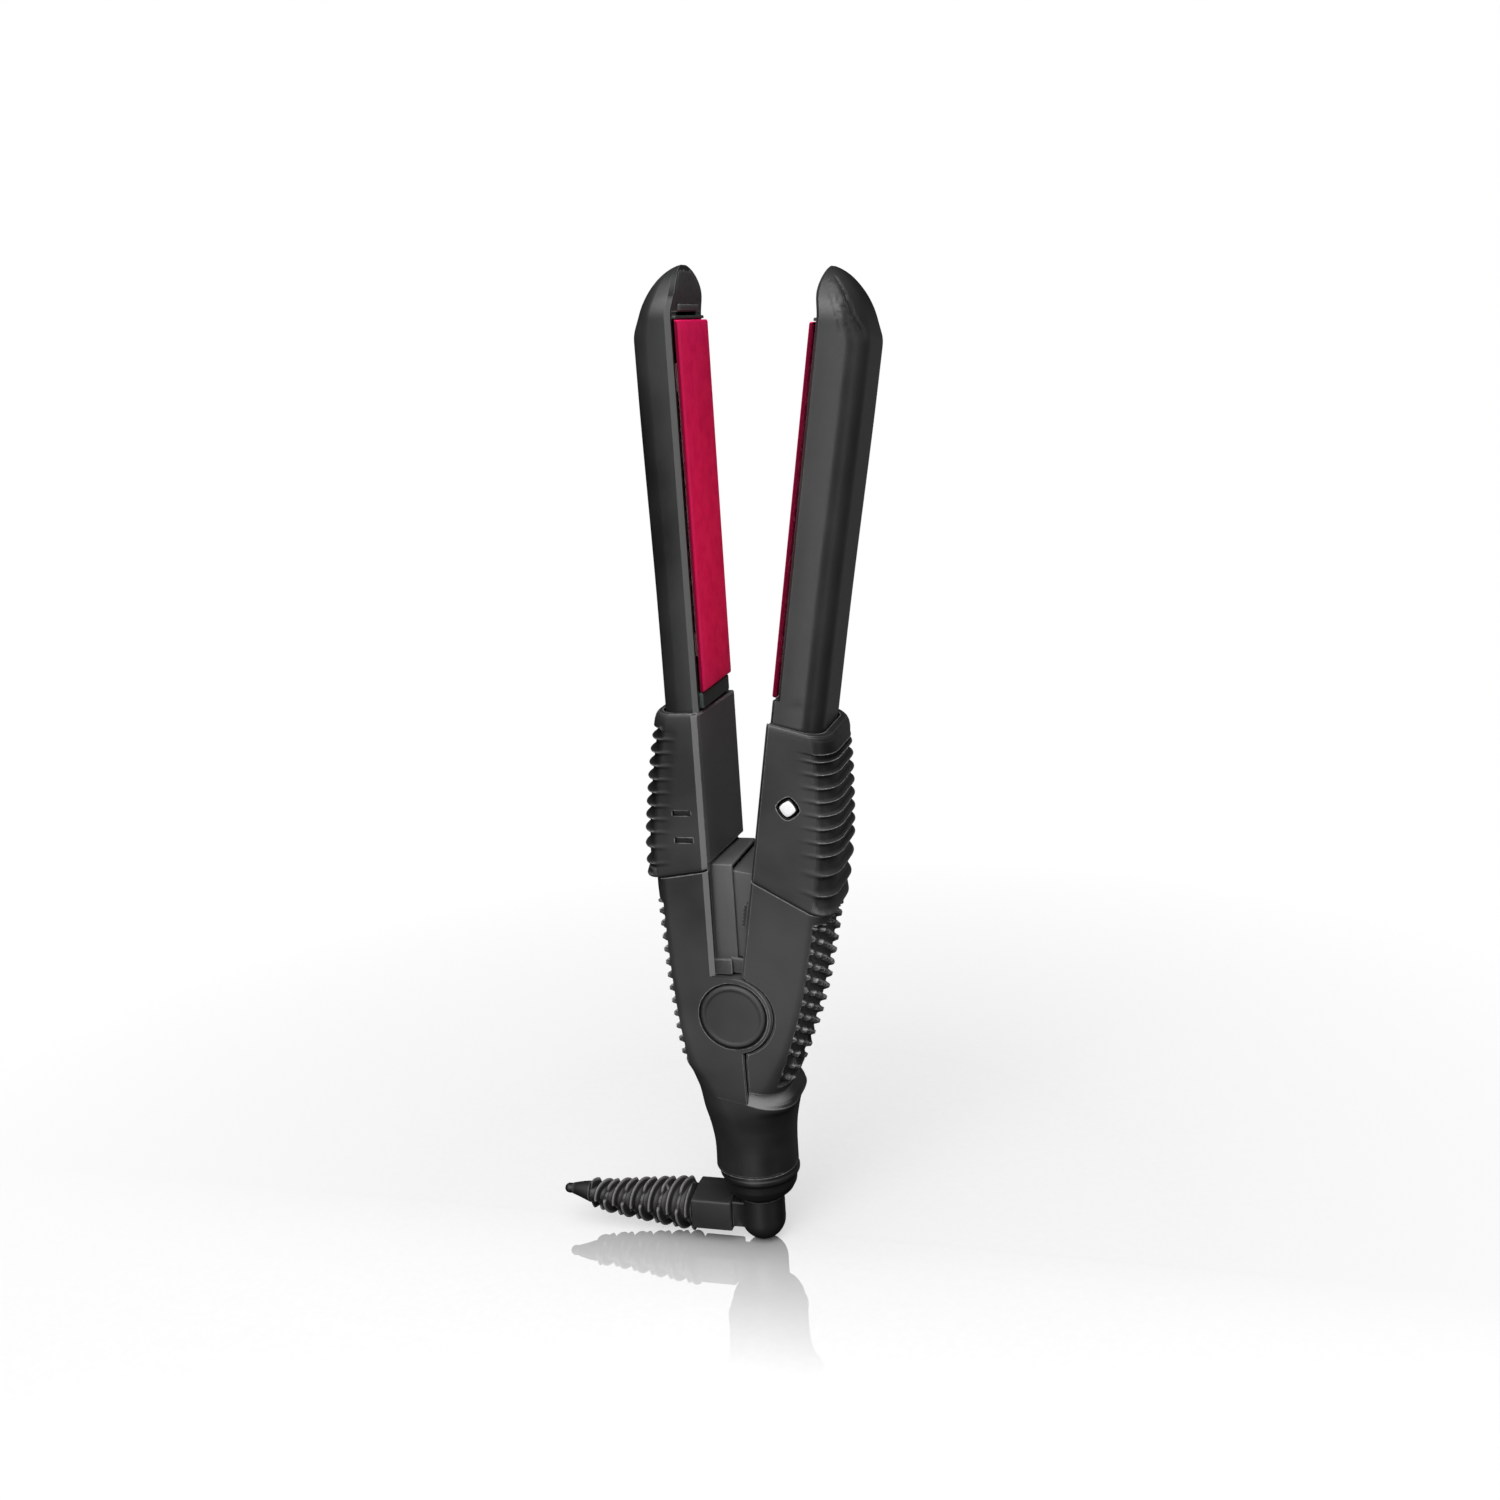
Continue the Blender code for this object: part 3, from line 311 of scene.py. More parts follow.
def combine(body, tools, operation):
    """The body after each tool is cut from it or joined to it."""
    target = temporary(body)
    others = [temporary(tool) for tool in tools]
    for other in others:
        modifier = target.modifiers.new("combine", "BOOLEAN")
        modifier.operation = operation
        modifier.solver = "EXACT"
        modifier.object = other
    depsgraph = bpy.context.evaluated_depsgraph_get()
    mesh = bpy.data.meshes.new_from_object(target.evaluated_get(depsgraph))
    result = bmesh.new()
    result.from_mesh(mesh)
    bpy.data.meshes.remove(mesh)
    for thing in [target] + others:
        old = thing.data
        bpy.data.objects.remove(thing)
        bpy.data.meshes.remove(old)
    return result


def cut(body, *tools):
    return combine(body, tools, "DIFFERENCE")


def join(body, *tools):
    return combine(body, tools, "UNION")


def softened(bm, width, count=2, angle=40):
    """The shape with its sharp edges rounded over."""
    bmesh.ops.remove_doubles(bm, verts=bm.verts, dist=1e-4)
    limit = math.radians(angle)
    sharp = [e for e in bm.edges if len(e.link_faces) == 2 and e.calc_face_angle(0) > limit]
    bmesh.ops.bevel(
        bm, geom=sharp, offset=width, segments=count, profile=0.5, affect="EDGES", clamp_overlap=True
    )
    return bm


# ---- materials ----


class Nodes:
    """A material's or a world's node tree, with short calls for the nodes used below."""

    def __init__(self, name, owner=None):
        self.owner = owner or bpy.data.materials.new(name)
        self.owner.use_nodes = True
        self.tree = self.owner.node_tree
        self.coordinates = self.new("TexCoord").outputs["Object"]

    def new(self, kind, inputs=None, operation=None):
        node = self.tree.nodes.new("ShaderNode" + kind)
        if operation:
            node.operation = operation
        self.fill(node, inputs or {})
        return node

    def fill(self, node, inputs):
        """Give each input a fixed value, or a link from another node's socket."""
        for key, value in inputs.items():
            if isinstance(value, bpy.types.NodeSocket):
                self.tree.links.new(value, node.inputs[key])
            else:
                node.inputs[key].default_value = value

    def set(self, name, value):
        self.fill(self.tree.nodes["Principled BSDF"], {name: value})

    def noise(self, scale, detail=4.0, roughness=0.55, vector=None):
        inputs = {"Scale": scale, "Detail": detail, "Roughness": roughness}
        inputs["Vector"] = vector or self.coordinates
        return self.new("TexNoise", inputs).outputs["Fac"]

    def geometry(self, output):
        return self.new("NewGeometry").outputs[output]

    def place(self, axis):
        return self.new("SeparateXYZ", {0: self.coordinates}).outputs[axis]

    def dot(self, first, second):
        return self.new("VectorMath", {0: first, 1: second}, "DOT_PRODUCT").outputs["Value"]

    def facing(self, way, low, high):
        """One on surfaces that face the given way, such as the long bevel by the plate."""
        return self.range(self.dot(self.geometry("True Normal"), way), low, high, 0, 1)

    def edges(self, radius):
        """One where the surface turns sharply within the radius, nought on flat parts."""
        bevel = self.new("Bevel", {"Radius": radius})
        bevel.samples = 6
        turn = self.dot(bevel.outputs["Normal"], self.geometry("True Normal"))
        return self.range(turn, 0.88, 0.996, 1, 0)

    def range(self, value, low, high, to_low, to_high, way="LINEAR"):
        inputs = {"Value": value, "From Min": low, "From Max": high, "To Min": to_low, "To Max": to_high}
        node = self.new("MapRange", inputs)
        node.interpolation_type = way
        return node.outputs["Result"]

    def math(self, operation, a, b):
        return self.new("Math", {0: a, 1: b}, operation).outputs[0]

    def mix(self, factor, first, second):
        node = self.new("Mix")
        node.data_type = "RGBA"
        inputs = {0: factor, 6: first, 7: second}
        self.fill(node, {key: (*c, 1) if isinstance(c, tuple) else c for key, c in inputs.items()})
        return node.outputs[2]

    def bump(self, height, strength, distance):
        inputs = {"Strength": strength, "Distance": distance, "Height": height}
        return self.new("Bump", inputs).outputs["Normal"]


def moulded(name, dark, light, roughness, grain, grain_depth, spread, painted_highlight, crest):
    """Moulded plastic: fine texture, uneven gloss, paler edges that are partly real wear and partly a painted
    edge highlight, and painted shade that darkens the hollows.
    The last two arguments set the strength of a painted highlight on the fixed arm's front bevel, which also
    turns on a painted highlight on the ledge round the cup, and of a painted highlight on the boot's rib
    crests."""
    n = Nodes(f"{name}_finish")
    cloud = n.noise(22, 3)
    fine = n.noise(grain, 3, 0.6)
    speck = n.noise(900, 2)
    paler = tuple(0.88 * a + 0.12 * b for a, b in zip(dark, light))
    tone = n.mix(n.range(cloud, 0.35, 0.65, 0, 1), dark, paler)
    # Painted shade: concave places (low pointiness) are darkened, standing in for shade in hollows and
    # grooves.
    hollows = n.range(n.geometry("Pointiness"), 0.43, 0.495, 0.85, 0)
    tone = n.mix(hollows, tone, tuple(0.2 * a for a in dark))
    # Paler convex edges: partly real wear, partly a painted edge highlight.
    wear_and_highlight = n.math("MULTIPLY", n.range(n.geometry("Pointiness"), 0.503, 0.53, 0, 1), n.edges(0.0004))
    wear_and_highlight = n.math("MULTIPLY", wear_and_highlight, n.range(speck, 0.35, 0.6, 0.5, 1))
    # Painted highlight: the crests of the boot's ribs are painted paler.
    if crest:
        along = n.place("X")
        far, near = n.range(along, -0.0457, -0.045, 0, 1), n.range(along, -0.019, -0.0175, 1, 0)
        ribs = n.math("MULTIPLY", far, near)
        rib_top_highlight = n.range(n.geometry("Pointiness"), 0.508, 0.54, 0, crest)
        wear_and_highlight = n.math("MAXIMUM", wear_and_highlight, n.math("MULTIPLY", ribs, rib_top_highlight))
    # Painted highlight: the fixed arm's long front bevel and the up-facing ledge round the cup are painted
    # paler.
    if painted_highlight:
        height = n.place("Z")
        bevel = n.facing((0.61, -0.79, 0.0), 0.96, 0.985)
        band = n.math("MULTIPLY", bevel, n.range(height, 0.008, 0.01, 0, painted_highlight))
        upward = n.facing((0.0, -0.3, 0.95), 0.45, 0.62)
        ledge_highlight = n.math("MULTIPLY", upward, n.range(height, -0.018, -0.017, 0.45, 0))
        wear_and_highlight = n.math("MAXIMUM", wear_and_highlight, n.math("MAXIMUM", band, ledge_highlight))
    n.set("Base Color", n.mix(wear_and_highlight, tone, light))
    uneven = n.math("ADD", n.range(cloud, 0.3, 0.7, -spread, spread), n.range(speck, 0.3, 0.7, -0.02, 0.02))
    n.set("Roughness", n.math("ADD", uneven, roughness))
    n.set("Normal", n.bump(fine, grain_depth, 0.00006))
    return n.owner


def plate_red():
    """Red coated plate: satin and mottled, with painted shade on its front-facing side and a painted
    highlight line beside that.
    """
    n = Nodes("plate_red_finish")
    mottle = n.noise(260, 5, 0.65)
    cloud = n.noise(60, 3)
    tone = n.mix(n.range(cloud, 0.3, 0.7, 0, 1), (0.88, 0.012, 0.13), (0.95, 0.016, 0.145))
    tone = n.mix(n.range(mottle, 0.45, 0.7, 0, 0.6), tone, (0.72, 0.009, 0.105))
    # Painted highlight: a paler mottled line along the plate's rounded front edge.
    across = n.place("Y")
    line = n.math("MULTIPLY", n.range(across, -0.0257, -0.0253, 0, 1), n.range(across, -0.025, -0.0244, 1, 0))
    tone = n.mix(n.math("MULTIPLY", line, n.range(mottle, 0.3, 0.6, 0.15, 0.45)), tone, (0.9, 0.08, 0.2))
    # Painted shade: surfaces facing the front take a dark red.
    n.set("Base Color", n.mix(n.facing((0.0, -1.0, 0.0), 0.3, 0.8), tone, (0.14, 0.003, 0.02)))
    n.set("Roughness", n.range(mottle, 0.3, 0.7, 0.4, 0.55))
    n.set("Specular IOR Level", 0.04)
    n.set("Normal", n.bump(mottle, 0.25, 0.0001))
    return n.owner


def metal(name, colour, roughness):
    """Drawn metal: fine lines across the object, and duller stains."""
    n = Nodes(name)
    lines = n.new("Mapping", {"Scale": (3000, 120, 3000), "Vector": n.coordinates}).outputs["Vector"]
    drawn = n.noise(1.0, 4, 0.6, lines)
    stain = n.noise(160, 4)
    dull = tuple(c * 0.62 for c in colour)
    n.set("Base Color", n.mix(n.range(stain, 0.45, 0.7, 0, 0.6), colour, dull))
    n.set("Metallic", 1.0)
    n.set("Roughness", n.math("ADD", n.range(drawn, 0.3, 0.7, -0.08, 0.12), roughness))
    n.set("Normal", n.bump(drawn, 0.2, 0.00003))
    return n.owner


def ceramic():
    n = Nodes("ceramic_finish")
    speck = n.noise(2200, 3, 0.7)
    cloud = n.noise(90, 3)
    tone = n.mix(n.range(cloud, 0.35, 0.65, 0, 1), (0.82, 0.8, 0.74), (0.7, 0.66, 0.58))
    n.set("Base Color", n.mix(n.range(speck, 0.58, 0.7, 0, 0.5), tone, (0.45, 0.42, 0.36)))
    n.set("Roughness", n.range(speck, 0.3, 0.7, 0.5, 0.75))
    n.set("Normal", n.bump(speck, 0.3, 0.00005))
    return n.owner


def soft_rubber(name, colour, dusty, roughness, scale=1600):
    n = Nodes(name)
    fine = n.noise(scale, 4, 0.65)
    dust = n.noise(70, 4)
    n.set("Base Color", n.mix(n.range(dust, 0.5, 0.75, 0, 0.6), colour, dusty))
    n.set("Roughness", n.math("ADD", n.range(dust, 0.3, 0.7, -0.08, 0.08), roughness))
    n.set("Normal", n.bump(fine, 0.3, 0.00008))
    return n.owner


def board_green():
    """Circuit board: a fine fibre pattern under a green varnish, with paler tracks."""
    n = Nodes("board_green_finish")
    fibre = n.noise(3000, 2)
    cells = n.new("TexVoronoi", {"Scale": 420, "Vector": n.coordinates}).outputs["Distance"]
    track = n.range(cells, 0.02, 0.05, 1, 0)
    tone = n.mix(n.range(fibre, 0.4, 0.6, 0, 1), (0.02, 0.13, 0.055), (0.035, 0.19, 0.08))
    n.set("Base Color", n.mix(track, tone, (0.12, 0.34, 0.16)))
    n.set("Roughness", n.range(fibre, 0.3, 0.7, 0.35, 0.5))
    n.set("Normal", n.bump(track, 0.3, 0.00003))
    return n.owner


def lamp_white():
    """Milky lens: white with a faint cloudy tone on its front face, and painted shade in black round its
    sides.
    """
    n = Nodes("lamp_white_finish")
    cloud = n.noise(500, 3)
    white = n.mix(n.range(cloud, 0.3, 0.7, 0, 1), (0.97, 0.97, 0.97), (0.9, 0.91, 0.93))
    # Painted shade: all but the front-facing surfaces are black.
    n.set("Base Color", n.mix(n.facing((0.0, -1.0, 0.0), 0.86, 0.95), (0.004, 0.004, 0.004), white))
    n.set("Roughness", n.range(cloud, 0.3, 0.7, 0.22, 0.32))
    n.set("Normal", n.bump(cloud, 0.05, 0.00003))
    return n.owner


# Moulded finishes: dark and light tone, roughness, grain, its depth, spread of gloss, strength of the painted
# highlight on the front bevel and ledge, strength of the painted highlight on the boot's rib crests
MOULDED = {
    "black_plastic": ((0.0095, 0.0095, 0.01), (0.2, 0.2, 0.205), 0.36, 2600, 0.25, 0.07, 0, 0),
    "handle_black": ((0.0075, 0.0075, 0.0078), (0.36, 0.36, 0.365), 0.55, 2000, 0.35, 0.07, 0, 0),
    "grip_black": ((0.008, 0.008, 0.0083), (0.36, 0.36, 0.365), 0.5, 2000, 0.4, 0.07, 0, 0),
    # Painted highlight: the three fixed-arm copies below paint the front bevel and the ledge paler.
    "barrel_rubbed": ((0.0075, 0.0075, 0.008), (0.17, 0.178, 0.174), 0.36, 2600, 0.25, 0.07, 0.5, 0),
    "handle_rubbed": ((0.0075, 0.0075, 0.0078), (0.36, 0.36, 0.365), 0.55, 2000, 0.35, 0.07, 0.4, 0),
    "grip_rubbed": ((0.008, 0.008, 0.0083), (0.36, 0.36, 0.365), 0.5, 2000, 0.4, 0.07, 0.4, 0),
    # Painted light: the covers' black plastic is given a paler tone, for the light that falls on the inner
    # faces.
    "cover_black": ((0.062, 0.062, 0.063), (0.3, 0.3, 0.3), 0.5, 2000, 0.35, 0.07, 0, 0),
    "tip_black": ((0.022, 0.022, 0.023), (0.4, 0.4, 0.4), 0.5, 900, 1.0, 0.12, 0, 0),
    "carrier_resin": ((0.012, 0.018, 0.0165), (0.1, 0.14, 0.13), 0.5, 1800, 0.5, 0.07, 0, 0),
    "swivel_black": ((0.006, 0.006, 0.0063), (0.16, 0.16, 0.162), 0.52, 2600, 0.25, 0.07, 0, 0),
    "cord_rubber": ((0.0035, 0.003, 0.003), (0.26, 0.25, 0.25), 0.48, 1600, 0.3, 0.08, 0, 0.6),
}


def make_finishes():
    finishes = {name: moulded(name, *values) for name, values in MOULDED.items()}
    finishes["plate_red"] = plate_red()
    finishes["steel"] = metal("steel_finish", (0.58, 0.58, 0.6), 0.3)
    finishes["brass"] = metal("brass_finish", (0.72, 0.5, 0.2), 0.28)
    finishes["heater_ceramic"] = ceramic()
    finishes["silicone"] = soft_rubber("silicone_finish", (0.5, 0.1, 0.07), (0.6, 0.2, 0.16), 0.6, 1100)
    finishes["board_green"] = board_green()
    finishes["lamp_white"] = lamp_white()
    finishes["lead_white"] = soft_rubber("lead_white_finish", (0.74, 0.74, 0.7), (0.6, 0.58, 0.52), 0.5, 900)
    return finishes


# ---- placing ----


def frame_matrix(arm):
    """From an arm's own millimetres to the row frame in metres."""
    base = Matrix.Translation((0, -MIDDLE * MM, 0))
    if arm == "fixed":
        return base @ Matrix.Diagonal((-MM, MM, MM, 1))
    scale = Matrix.Diagonal((MM, MM, MM, 1))
    if arm == "moving":
        return base @ Matrix.Rotation(OPEN_ANGLE, 4, "Y") @ scale
    return base @ scale


def put(name, bm, arm, body, nodes, finish):
    """Place a shape in the row frame, give it its finish and let it ride on its body."""
    bmesh.ops.transform(bm, matrix=frame_matrix(arm), verts=bm.verts)
    bmesh.ops.remove_doubles(bm, verts=bm.verts, dist=1e-7)
    bmesh.ops.recalc_face_normals(bm, faces=bm.faces)
    mesh = bpy.data.meshes.new(name)
    bm.to_mesh(mesh)
    bm.free()
    mesh.shade_smooth()
    mesh.set_sharp_from_angle(angle=math.radians(SHARP_ANGLE))
    mesh.materials.append(FINISHES[finish])
    piece = bpy.data.objects.new(name, mesh)
    bpy.context.scene.collection.objects.link(piece)
    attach(piece, body)
    if nodes:
        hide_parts(*nodes)
    return piece


# ---- barrel ----


def nose_half(z, inset=0.0):
    rise = max(0.0, (z - NOSE_WIDTH_START) / (TIP + 0.1 - NOSE_WIDTH_START))
    return (BARREL_HALF - inset) * math.sqrt(max(0.0, 1 - rise * rise))


def nose_outer(z, face):
    if z <= NOSE_START:
        return curve_at(BARREL_OUTER, z)
    rise = (z - NOSE_START) / (TIP + 0.2 - NOSE_START)
    start = curve_at(BARREL_OUTER, NOSE_START)
    return face + (start - face) * max(0.0, 1 - rise**1.75) ** 0.58


def nose_relief(arm):
    """A parting groove on the nose, a little inside its outer outline, with a raised band inside it."""
    face = PLATE_FACE[arm] + FACE_STEP

    def relief(x, y, z):
        if z < 158.6 or z > 171.6:
            return 0.0
        inset = nose_outer(z, face) - x
        if inset > 5.8 or x < face + 0.8:
            return 0.0
        fade = ease((z - 158.6) / 2.5) * ease((171.6 - z) / 1.5)
        line = 0.7 + 1.5 * ease((z - 158.5) / 6)
        groove = math.exp(-(((inset - line) / 0.3) ** 2))
        band = ease((inset - line - 0.3) / 0.5) * ease((line + 3.5 - inset) / 1.4)
        rough = noise.noise(Vector((x * 1.1, y * 1.1, z * 1.1)))
        return fade * (-0.1 - 0.4 * groove + band * (0.08 + 0.16 * rough))

    return relief


def nose_inner(arm, z):
    """Depth of the barrel's inner side past the plate's top end."""
    rim, face = rim_of(arm), PLATE_FACE[arm] + FACE_STEP
    curl = 0.7 * max(0.0, (z - 168) / (TIP - 168)) ** 2
    return rim + (face + 0.25 - rim) * ease((z - 162.0) / 6.0) + curl


def rim_of(arm):
    return WALL_EDGE[arm] if arm == "fixed" else PLATE_FACE[arm] + RIM_STEP


def barrel_rings(arm):
    face, edge, rim, bevel = PLATE_FACE[arm] + FACE_STEP, WALL_EDGE[arm], rim_of(arm), EDGE_BEVEL[arm]
    bottom, upper = PLATE_ENDS
    low = edge if arm == "fixed" else face
    stations = [(z, low) for z in steps(BARREL_BOTTOM, bottom - 0.6, 1.5)]
    stations += [(z, rim) for z in steps(bottom - 0.4, NOSE_START, 2.0)]
    stations += [(z, rim) for z in steps(NOSE_START + 0.3, upper + 0.1, 0.3)]
    stations += [(z, nose_inner(arm, z)) for z in steps(upper + 0.3, TIP - 1.5, 0.25)]
    stations += [(z, nose_inner(arm, z)) for z in steps(TIP - 1.4, TIP, 0.12)]
    relief = nose_relief(arm) if arm == "moving" else None
    rings = []
    for z, inner in stations:
        outer = nose_outer(z, face)
        half = nose_half(z)
        blend = ease((z - 158) / 5)
        corner = (
            4.6 + blend * ((outer - inner) * 0.5 - 4.6),
            5.8 + blend * (half * 0.7 - 5.8),
        )
        edge_size = (min(bevel[0], (outer - inner) * 0.2), min(bevel[1], half * 0.08))
        rings.append(section(z, inner, outer, half, corner, edge_size, crown=0.055, relief=relief))
    return rings


def barrel_cavity():
    rings = []
    for z in (BARREL_BOTTOM - 1, 100, 140, 154.8):
        outer = curve_at(BARREL_OUTER, z) - 1.8
        rings.append(plain_section(z, 0, outer, BARREL_HALF - 1.8, (3.2, 6.0)))
    return loft(rings)


def plain_section(z, inner, outer, half, corner, edge=(0.3, 0.3)):
    """A coarse loop with four round corners, for the rooms cut out of the shells."""
    count = 6
    points = quarter((outer - corner[0], corner[1] - half), corner, -90, count)
    points += quarter((outer - corner[0], half - corner[1]), corner, 0, count)
    points += quarter((inner + edge[0], half - edge[1]), edge, 90, count)
    points += quarter((inner + edge[0], edge[1] - half), edge, 180, count)
    return [(x, y, z) for x, y in points]


def barrel_shell(arm):
    back = PLATE_FACE[arm] + 5.7
    end = box((0, back), (-10.8, 10.8), (152.8, 162.2))
    slot = box((0, back), (-7.4, 7.4), (161.9, 163.3))
    return cut(loft(barrel_rings(arm)), barrel_cavity(), end, slot)


def tip_insert(arm):
    """The matt rounded triangle in the nose's inner face, uneven like a blasted surface, with its lip."""
    rings = []
    for z in steps(163.0, 171.9, 0.25):
        half = nose_half(z, 1.2) - 0.45
        base = nose_inner(arm, z)
        row = []
        for k in range(41):
            y = -half + 2 * half * k / 40
            side = 1 - abs(y) / half
            level = 0.18 * ease(side / 0.08) * ease((171.9 - z) / 0.5) - 0.05
            rough = 0.12 * noise.noise(Vector((y * 0.9, z * 0.9, 3.0)))
            row.append((base - level - rough * ease(side / 0.2), y, z))
        rings.append([(base + 1.2, half, z)] + row[::-1] + [(base + 1.2, -half, z)])
    face = nose_inner(arm, 163.8)
    lip = softened(box((face - 0.75, face + 1.0), (-7.2, 7.2), (163.1, 164.6)), 0.35, 3)
    return join(loft(rings), lip)


def plate_surround(arm):
    """The heat-resistant frame behind the plate, with raised borders past the plate's two ends."""
    face = PLATE_FACE[arm]
    near, far = face + 2.7, face + 5.4
    upright = Matrix.Rotation(math.pi / 2, 4, "Y")
    body = box((near, far), (-10.4, 10.4), (75.0, 162.0))
    window = box((0, far + 2), (-8.4, 8.4), (84.0, 154.0))
    pads = [box((0, face + 4.7), (-5.3, 5.3), (z - 1.0, z + 1.0)) for z in (77.2, 160.2)]
    cups = [moved(rod(2.1, (0, face + 4.1), 24), (0, 0, z), upright) for z in (81.2, 157.0)]
    body = cut(body, window, *pads, *cups)
    upper = softened(box((face + 0.7, near + 0.4), (-10.7, 10.7), (161.45, 162.15)), 0.2, 3)
    lower = softened(box((face + 0.5, near - 0.4), (-10.5, 10.5), (74.6, 78.25)), 0.3, 3)
    leg = box((face + 1.2, near + 0.5), (-10.2, 10.2), (75.05, 76.1))
    return join(body, upper, lower, leg)


def heating_plate(arm):
    """A smooth slab with full round long edges and small round ends."""
    radius = 0.68
    rings = []
    bottom, top = PLATE_ENDS
    ends = [(0.0, 0.5), (0.08, 0.25), (0.25, 0.08), (0.5, 0.0)]
    stations = [(bottom + rise, inset) for rise, inset in ends]
    stations += [(z, 0.0) for z in steps(bottom + 3, top - 3, 4)]
    stations += [(top - rise, inset) for rise, inset in reversed(ends)]
    for z, inset in stations:
        width = PLATE_HALF - inset
        loop = quarter((inset * 0.5 + radius, width - radius), (radius, radius), 90, 8)
        loop += between((inset * 0.5, width - radius), (inset * 0.5, radius - width), 16)
        loop += quarter((inset * 0.5 + radius, radius - width), (radius, radius), 180, 8)
        loop += [(PLATE_THICKNESS, -width), (PLATE_THICKNESS, width)]
        rings.append([(x + PLATE_FACE[arm], y, z) for x, y in loop])
    return loft(rings)


# ---- grip sleeve ----


def rib_relief(arm):
    """Grooves between level ribs, full depth on the outer side and fading towards front and rear."""
    first, slope = FIRST_RIB[arm], GRIP_END_SLOPE[arm]
    last = first + GRIP_RIBS * RIB_PITCH

    def relief(x, y, z):
        outer = curve_at(GRIP_OUTER, z)
        reach = 0.14 * ease((x - (outer - 8.5)) / 3.0) + 0.86 * ease((x - (outer - 5.0)) / 2.8)
        ends = ease((z - first + 0.3) / 0.5) * ease((last - z) / 0.5)
        phase = ((z - first) / RIB_PITCH) % 1.0
        crest = math.exp(-(abs((phase - 0.3) / 0.135) ** 2.2))
        return reach * ends * RIB_DEPTH * (crest - 1.0)

    return relief


def grip_sleeve(arm):
    edge, end, end_slope = WALL_EDGE[arm], GRIP_END[arm], GRIP_END_SLOPE[arm]
    top, top_slope = GRIP_TOP[arm], GRIP_TOP_SLOPE[arm]
    relief = rib_relief(arm)
    rings = []
    for rise, back in ((0, 0.9), (0.15, 0.45), (0.4, 0.12), (0.8, 0.0)):
        outer = curve_at(GRIP_OUTER, end) - back
        half = GRIP_HALF - 0.5 * back
        rings.append(section(end + rise, edge, outer, half, GRIP_CORNER, EDGE_BEVEL[arm], slope=end_slope))
    for z in steps(end + 1.3, top - 4.2, 0.2):
        fade = 1 - ease((z - end) / 9)
        lean = ease((z - (top - 9)) / 8)
        outer = curve_at(GRIP_OUTER, z)
        slope = end_slope * fade * 0.6 + top_slope * lean
        rings.append(section(z, edge, outer, GRIP_HALF, GRIP_CORNER, EDGE_BEVEL[arm], slope, 0.0, relief))
    for back, drop in ((0.0, 3.4), (0.0, 2.0), (0.0, 1.0), (0.15, 0.4), (0.4, 0.1), (0.8, 0.0)):
        outer = curve_at(GRIP_OUTER, top - drop) - back + 0.3 * ease((3.4 - drop) / 2)
        corner = (4.7, 7.0 + 0.4 * drop)
        half = GRIP_HALF - 0.6 * back
        rings.append(section(top - drop, edge, outer, half, corner, EDGE_BEVEL[arm], slope=top_slope))
    return cut(loft(rings), sleeve_cavity(arm))


def sleeve_cavity(arm):
    inside = CORE_HALF + 0.3
    rings = []
    for z in (GRIP_END[arm] - 9, 43, 50, 58, CORE_TOP + 0.2):
        outer = curve_at(GRIP_OUTER, max(z, 36)) - 2.3
        rings.append(plain_section(z, 0, outer, inside, CORE_CORNER))
    for z in (CORE_TOP + 0.8, GRIP_TOP[arm] + 2):
        outer = curve_at(BARREL_OUTER, z) + 0.3
        rings.append(plain_section(z, 0, outer, inside, (4.6, 5.8)))
    return loft(rings)


def diamond(half, count=8):
    """A diamond outline with well rounded corners, about the indicator's centre."""
    x, z = LENS_CENTRE
    outline = []
    total = 8 * count
    for k in range(total):
        angle = 2 * math.pi * k / total
        c, s = abs(math.cos(angle)), abs(math.sin(angle))
        radius = half / (c**1.45 + s**1.45) ** (1 / 1.45)
        outline.append((x + radius * math.cos(angle), z + radius * math.sin(angle)))
    return outline


def prism(outline, y):
    return loft([[(x, side, z) for x, z in outline] for side in y])


def indicator_lens():
    """A cushion-topped diamond with a stepped rim."""
    rings = [[(x, -10.4, z) for x, z in diamond(LENS_HALF * 0.98)]]
    steps_in = ((0.98, -13.7), (0.96, -13.95), (0.78, -14.4), (0.74, -14.45), (0.4, -14.5), (0.1, -14.5))
    for size, depth in steps_in:
        rings.append([(x, depth, z) for x, z in diamond(LENS_HALF * size)])
    return loft(rings)


# ---- handles ----


def stud_relief(arm, low, high):
    """Staggered oval studs over the outer side."""

    def relief(x, y, z):
        outer = curve_at(HANDLE_OUTER[arm], z)
        cover = ease((x - (outer - 2.6)) / 0.5) * ease((z - low) / 1.0) * ease((high - z) / 1.0)
        if cover <= 0:
            return 0.0
        around = y / STUD_PITCH
        best = 9.0
        for column in (math.floor(around), math.floor(around) + 1):
            shift = 0.5 if column % 2 else 0.0
            row = round(z / STUD_PITCH - shift)
            distance = math.hypot((around - column) / 0.27, (z / STUD_PITCH - shift - row) / 0.25)
            best = min(best, distance)
        return cover * (STUD_HEIGHT * ease((1.2 - best) / 0.6) - 0.85)

    return relief


def handle_section(arm, z, inner, edge=(0.5, 0.5), slope=0.0, relief=None, inset=0.0, round_edge=False):
    corner = (curve_at(CORNER_DEPTH, z), curve_at(CORNER_WIDTH, z))
    half = curve_at(HANDLE_HALF, z) - inset
    outer = curve_at(HANDLE_OUTER[arm], z) - inset
    return section(z, inner, outer, half, corner, edge, slope, 0.0, relief, round_edge)


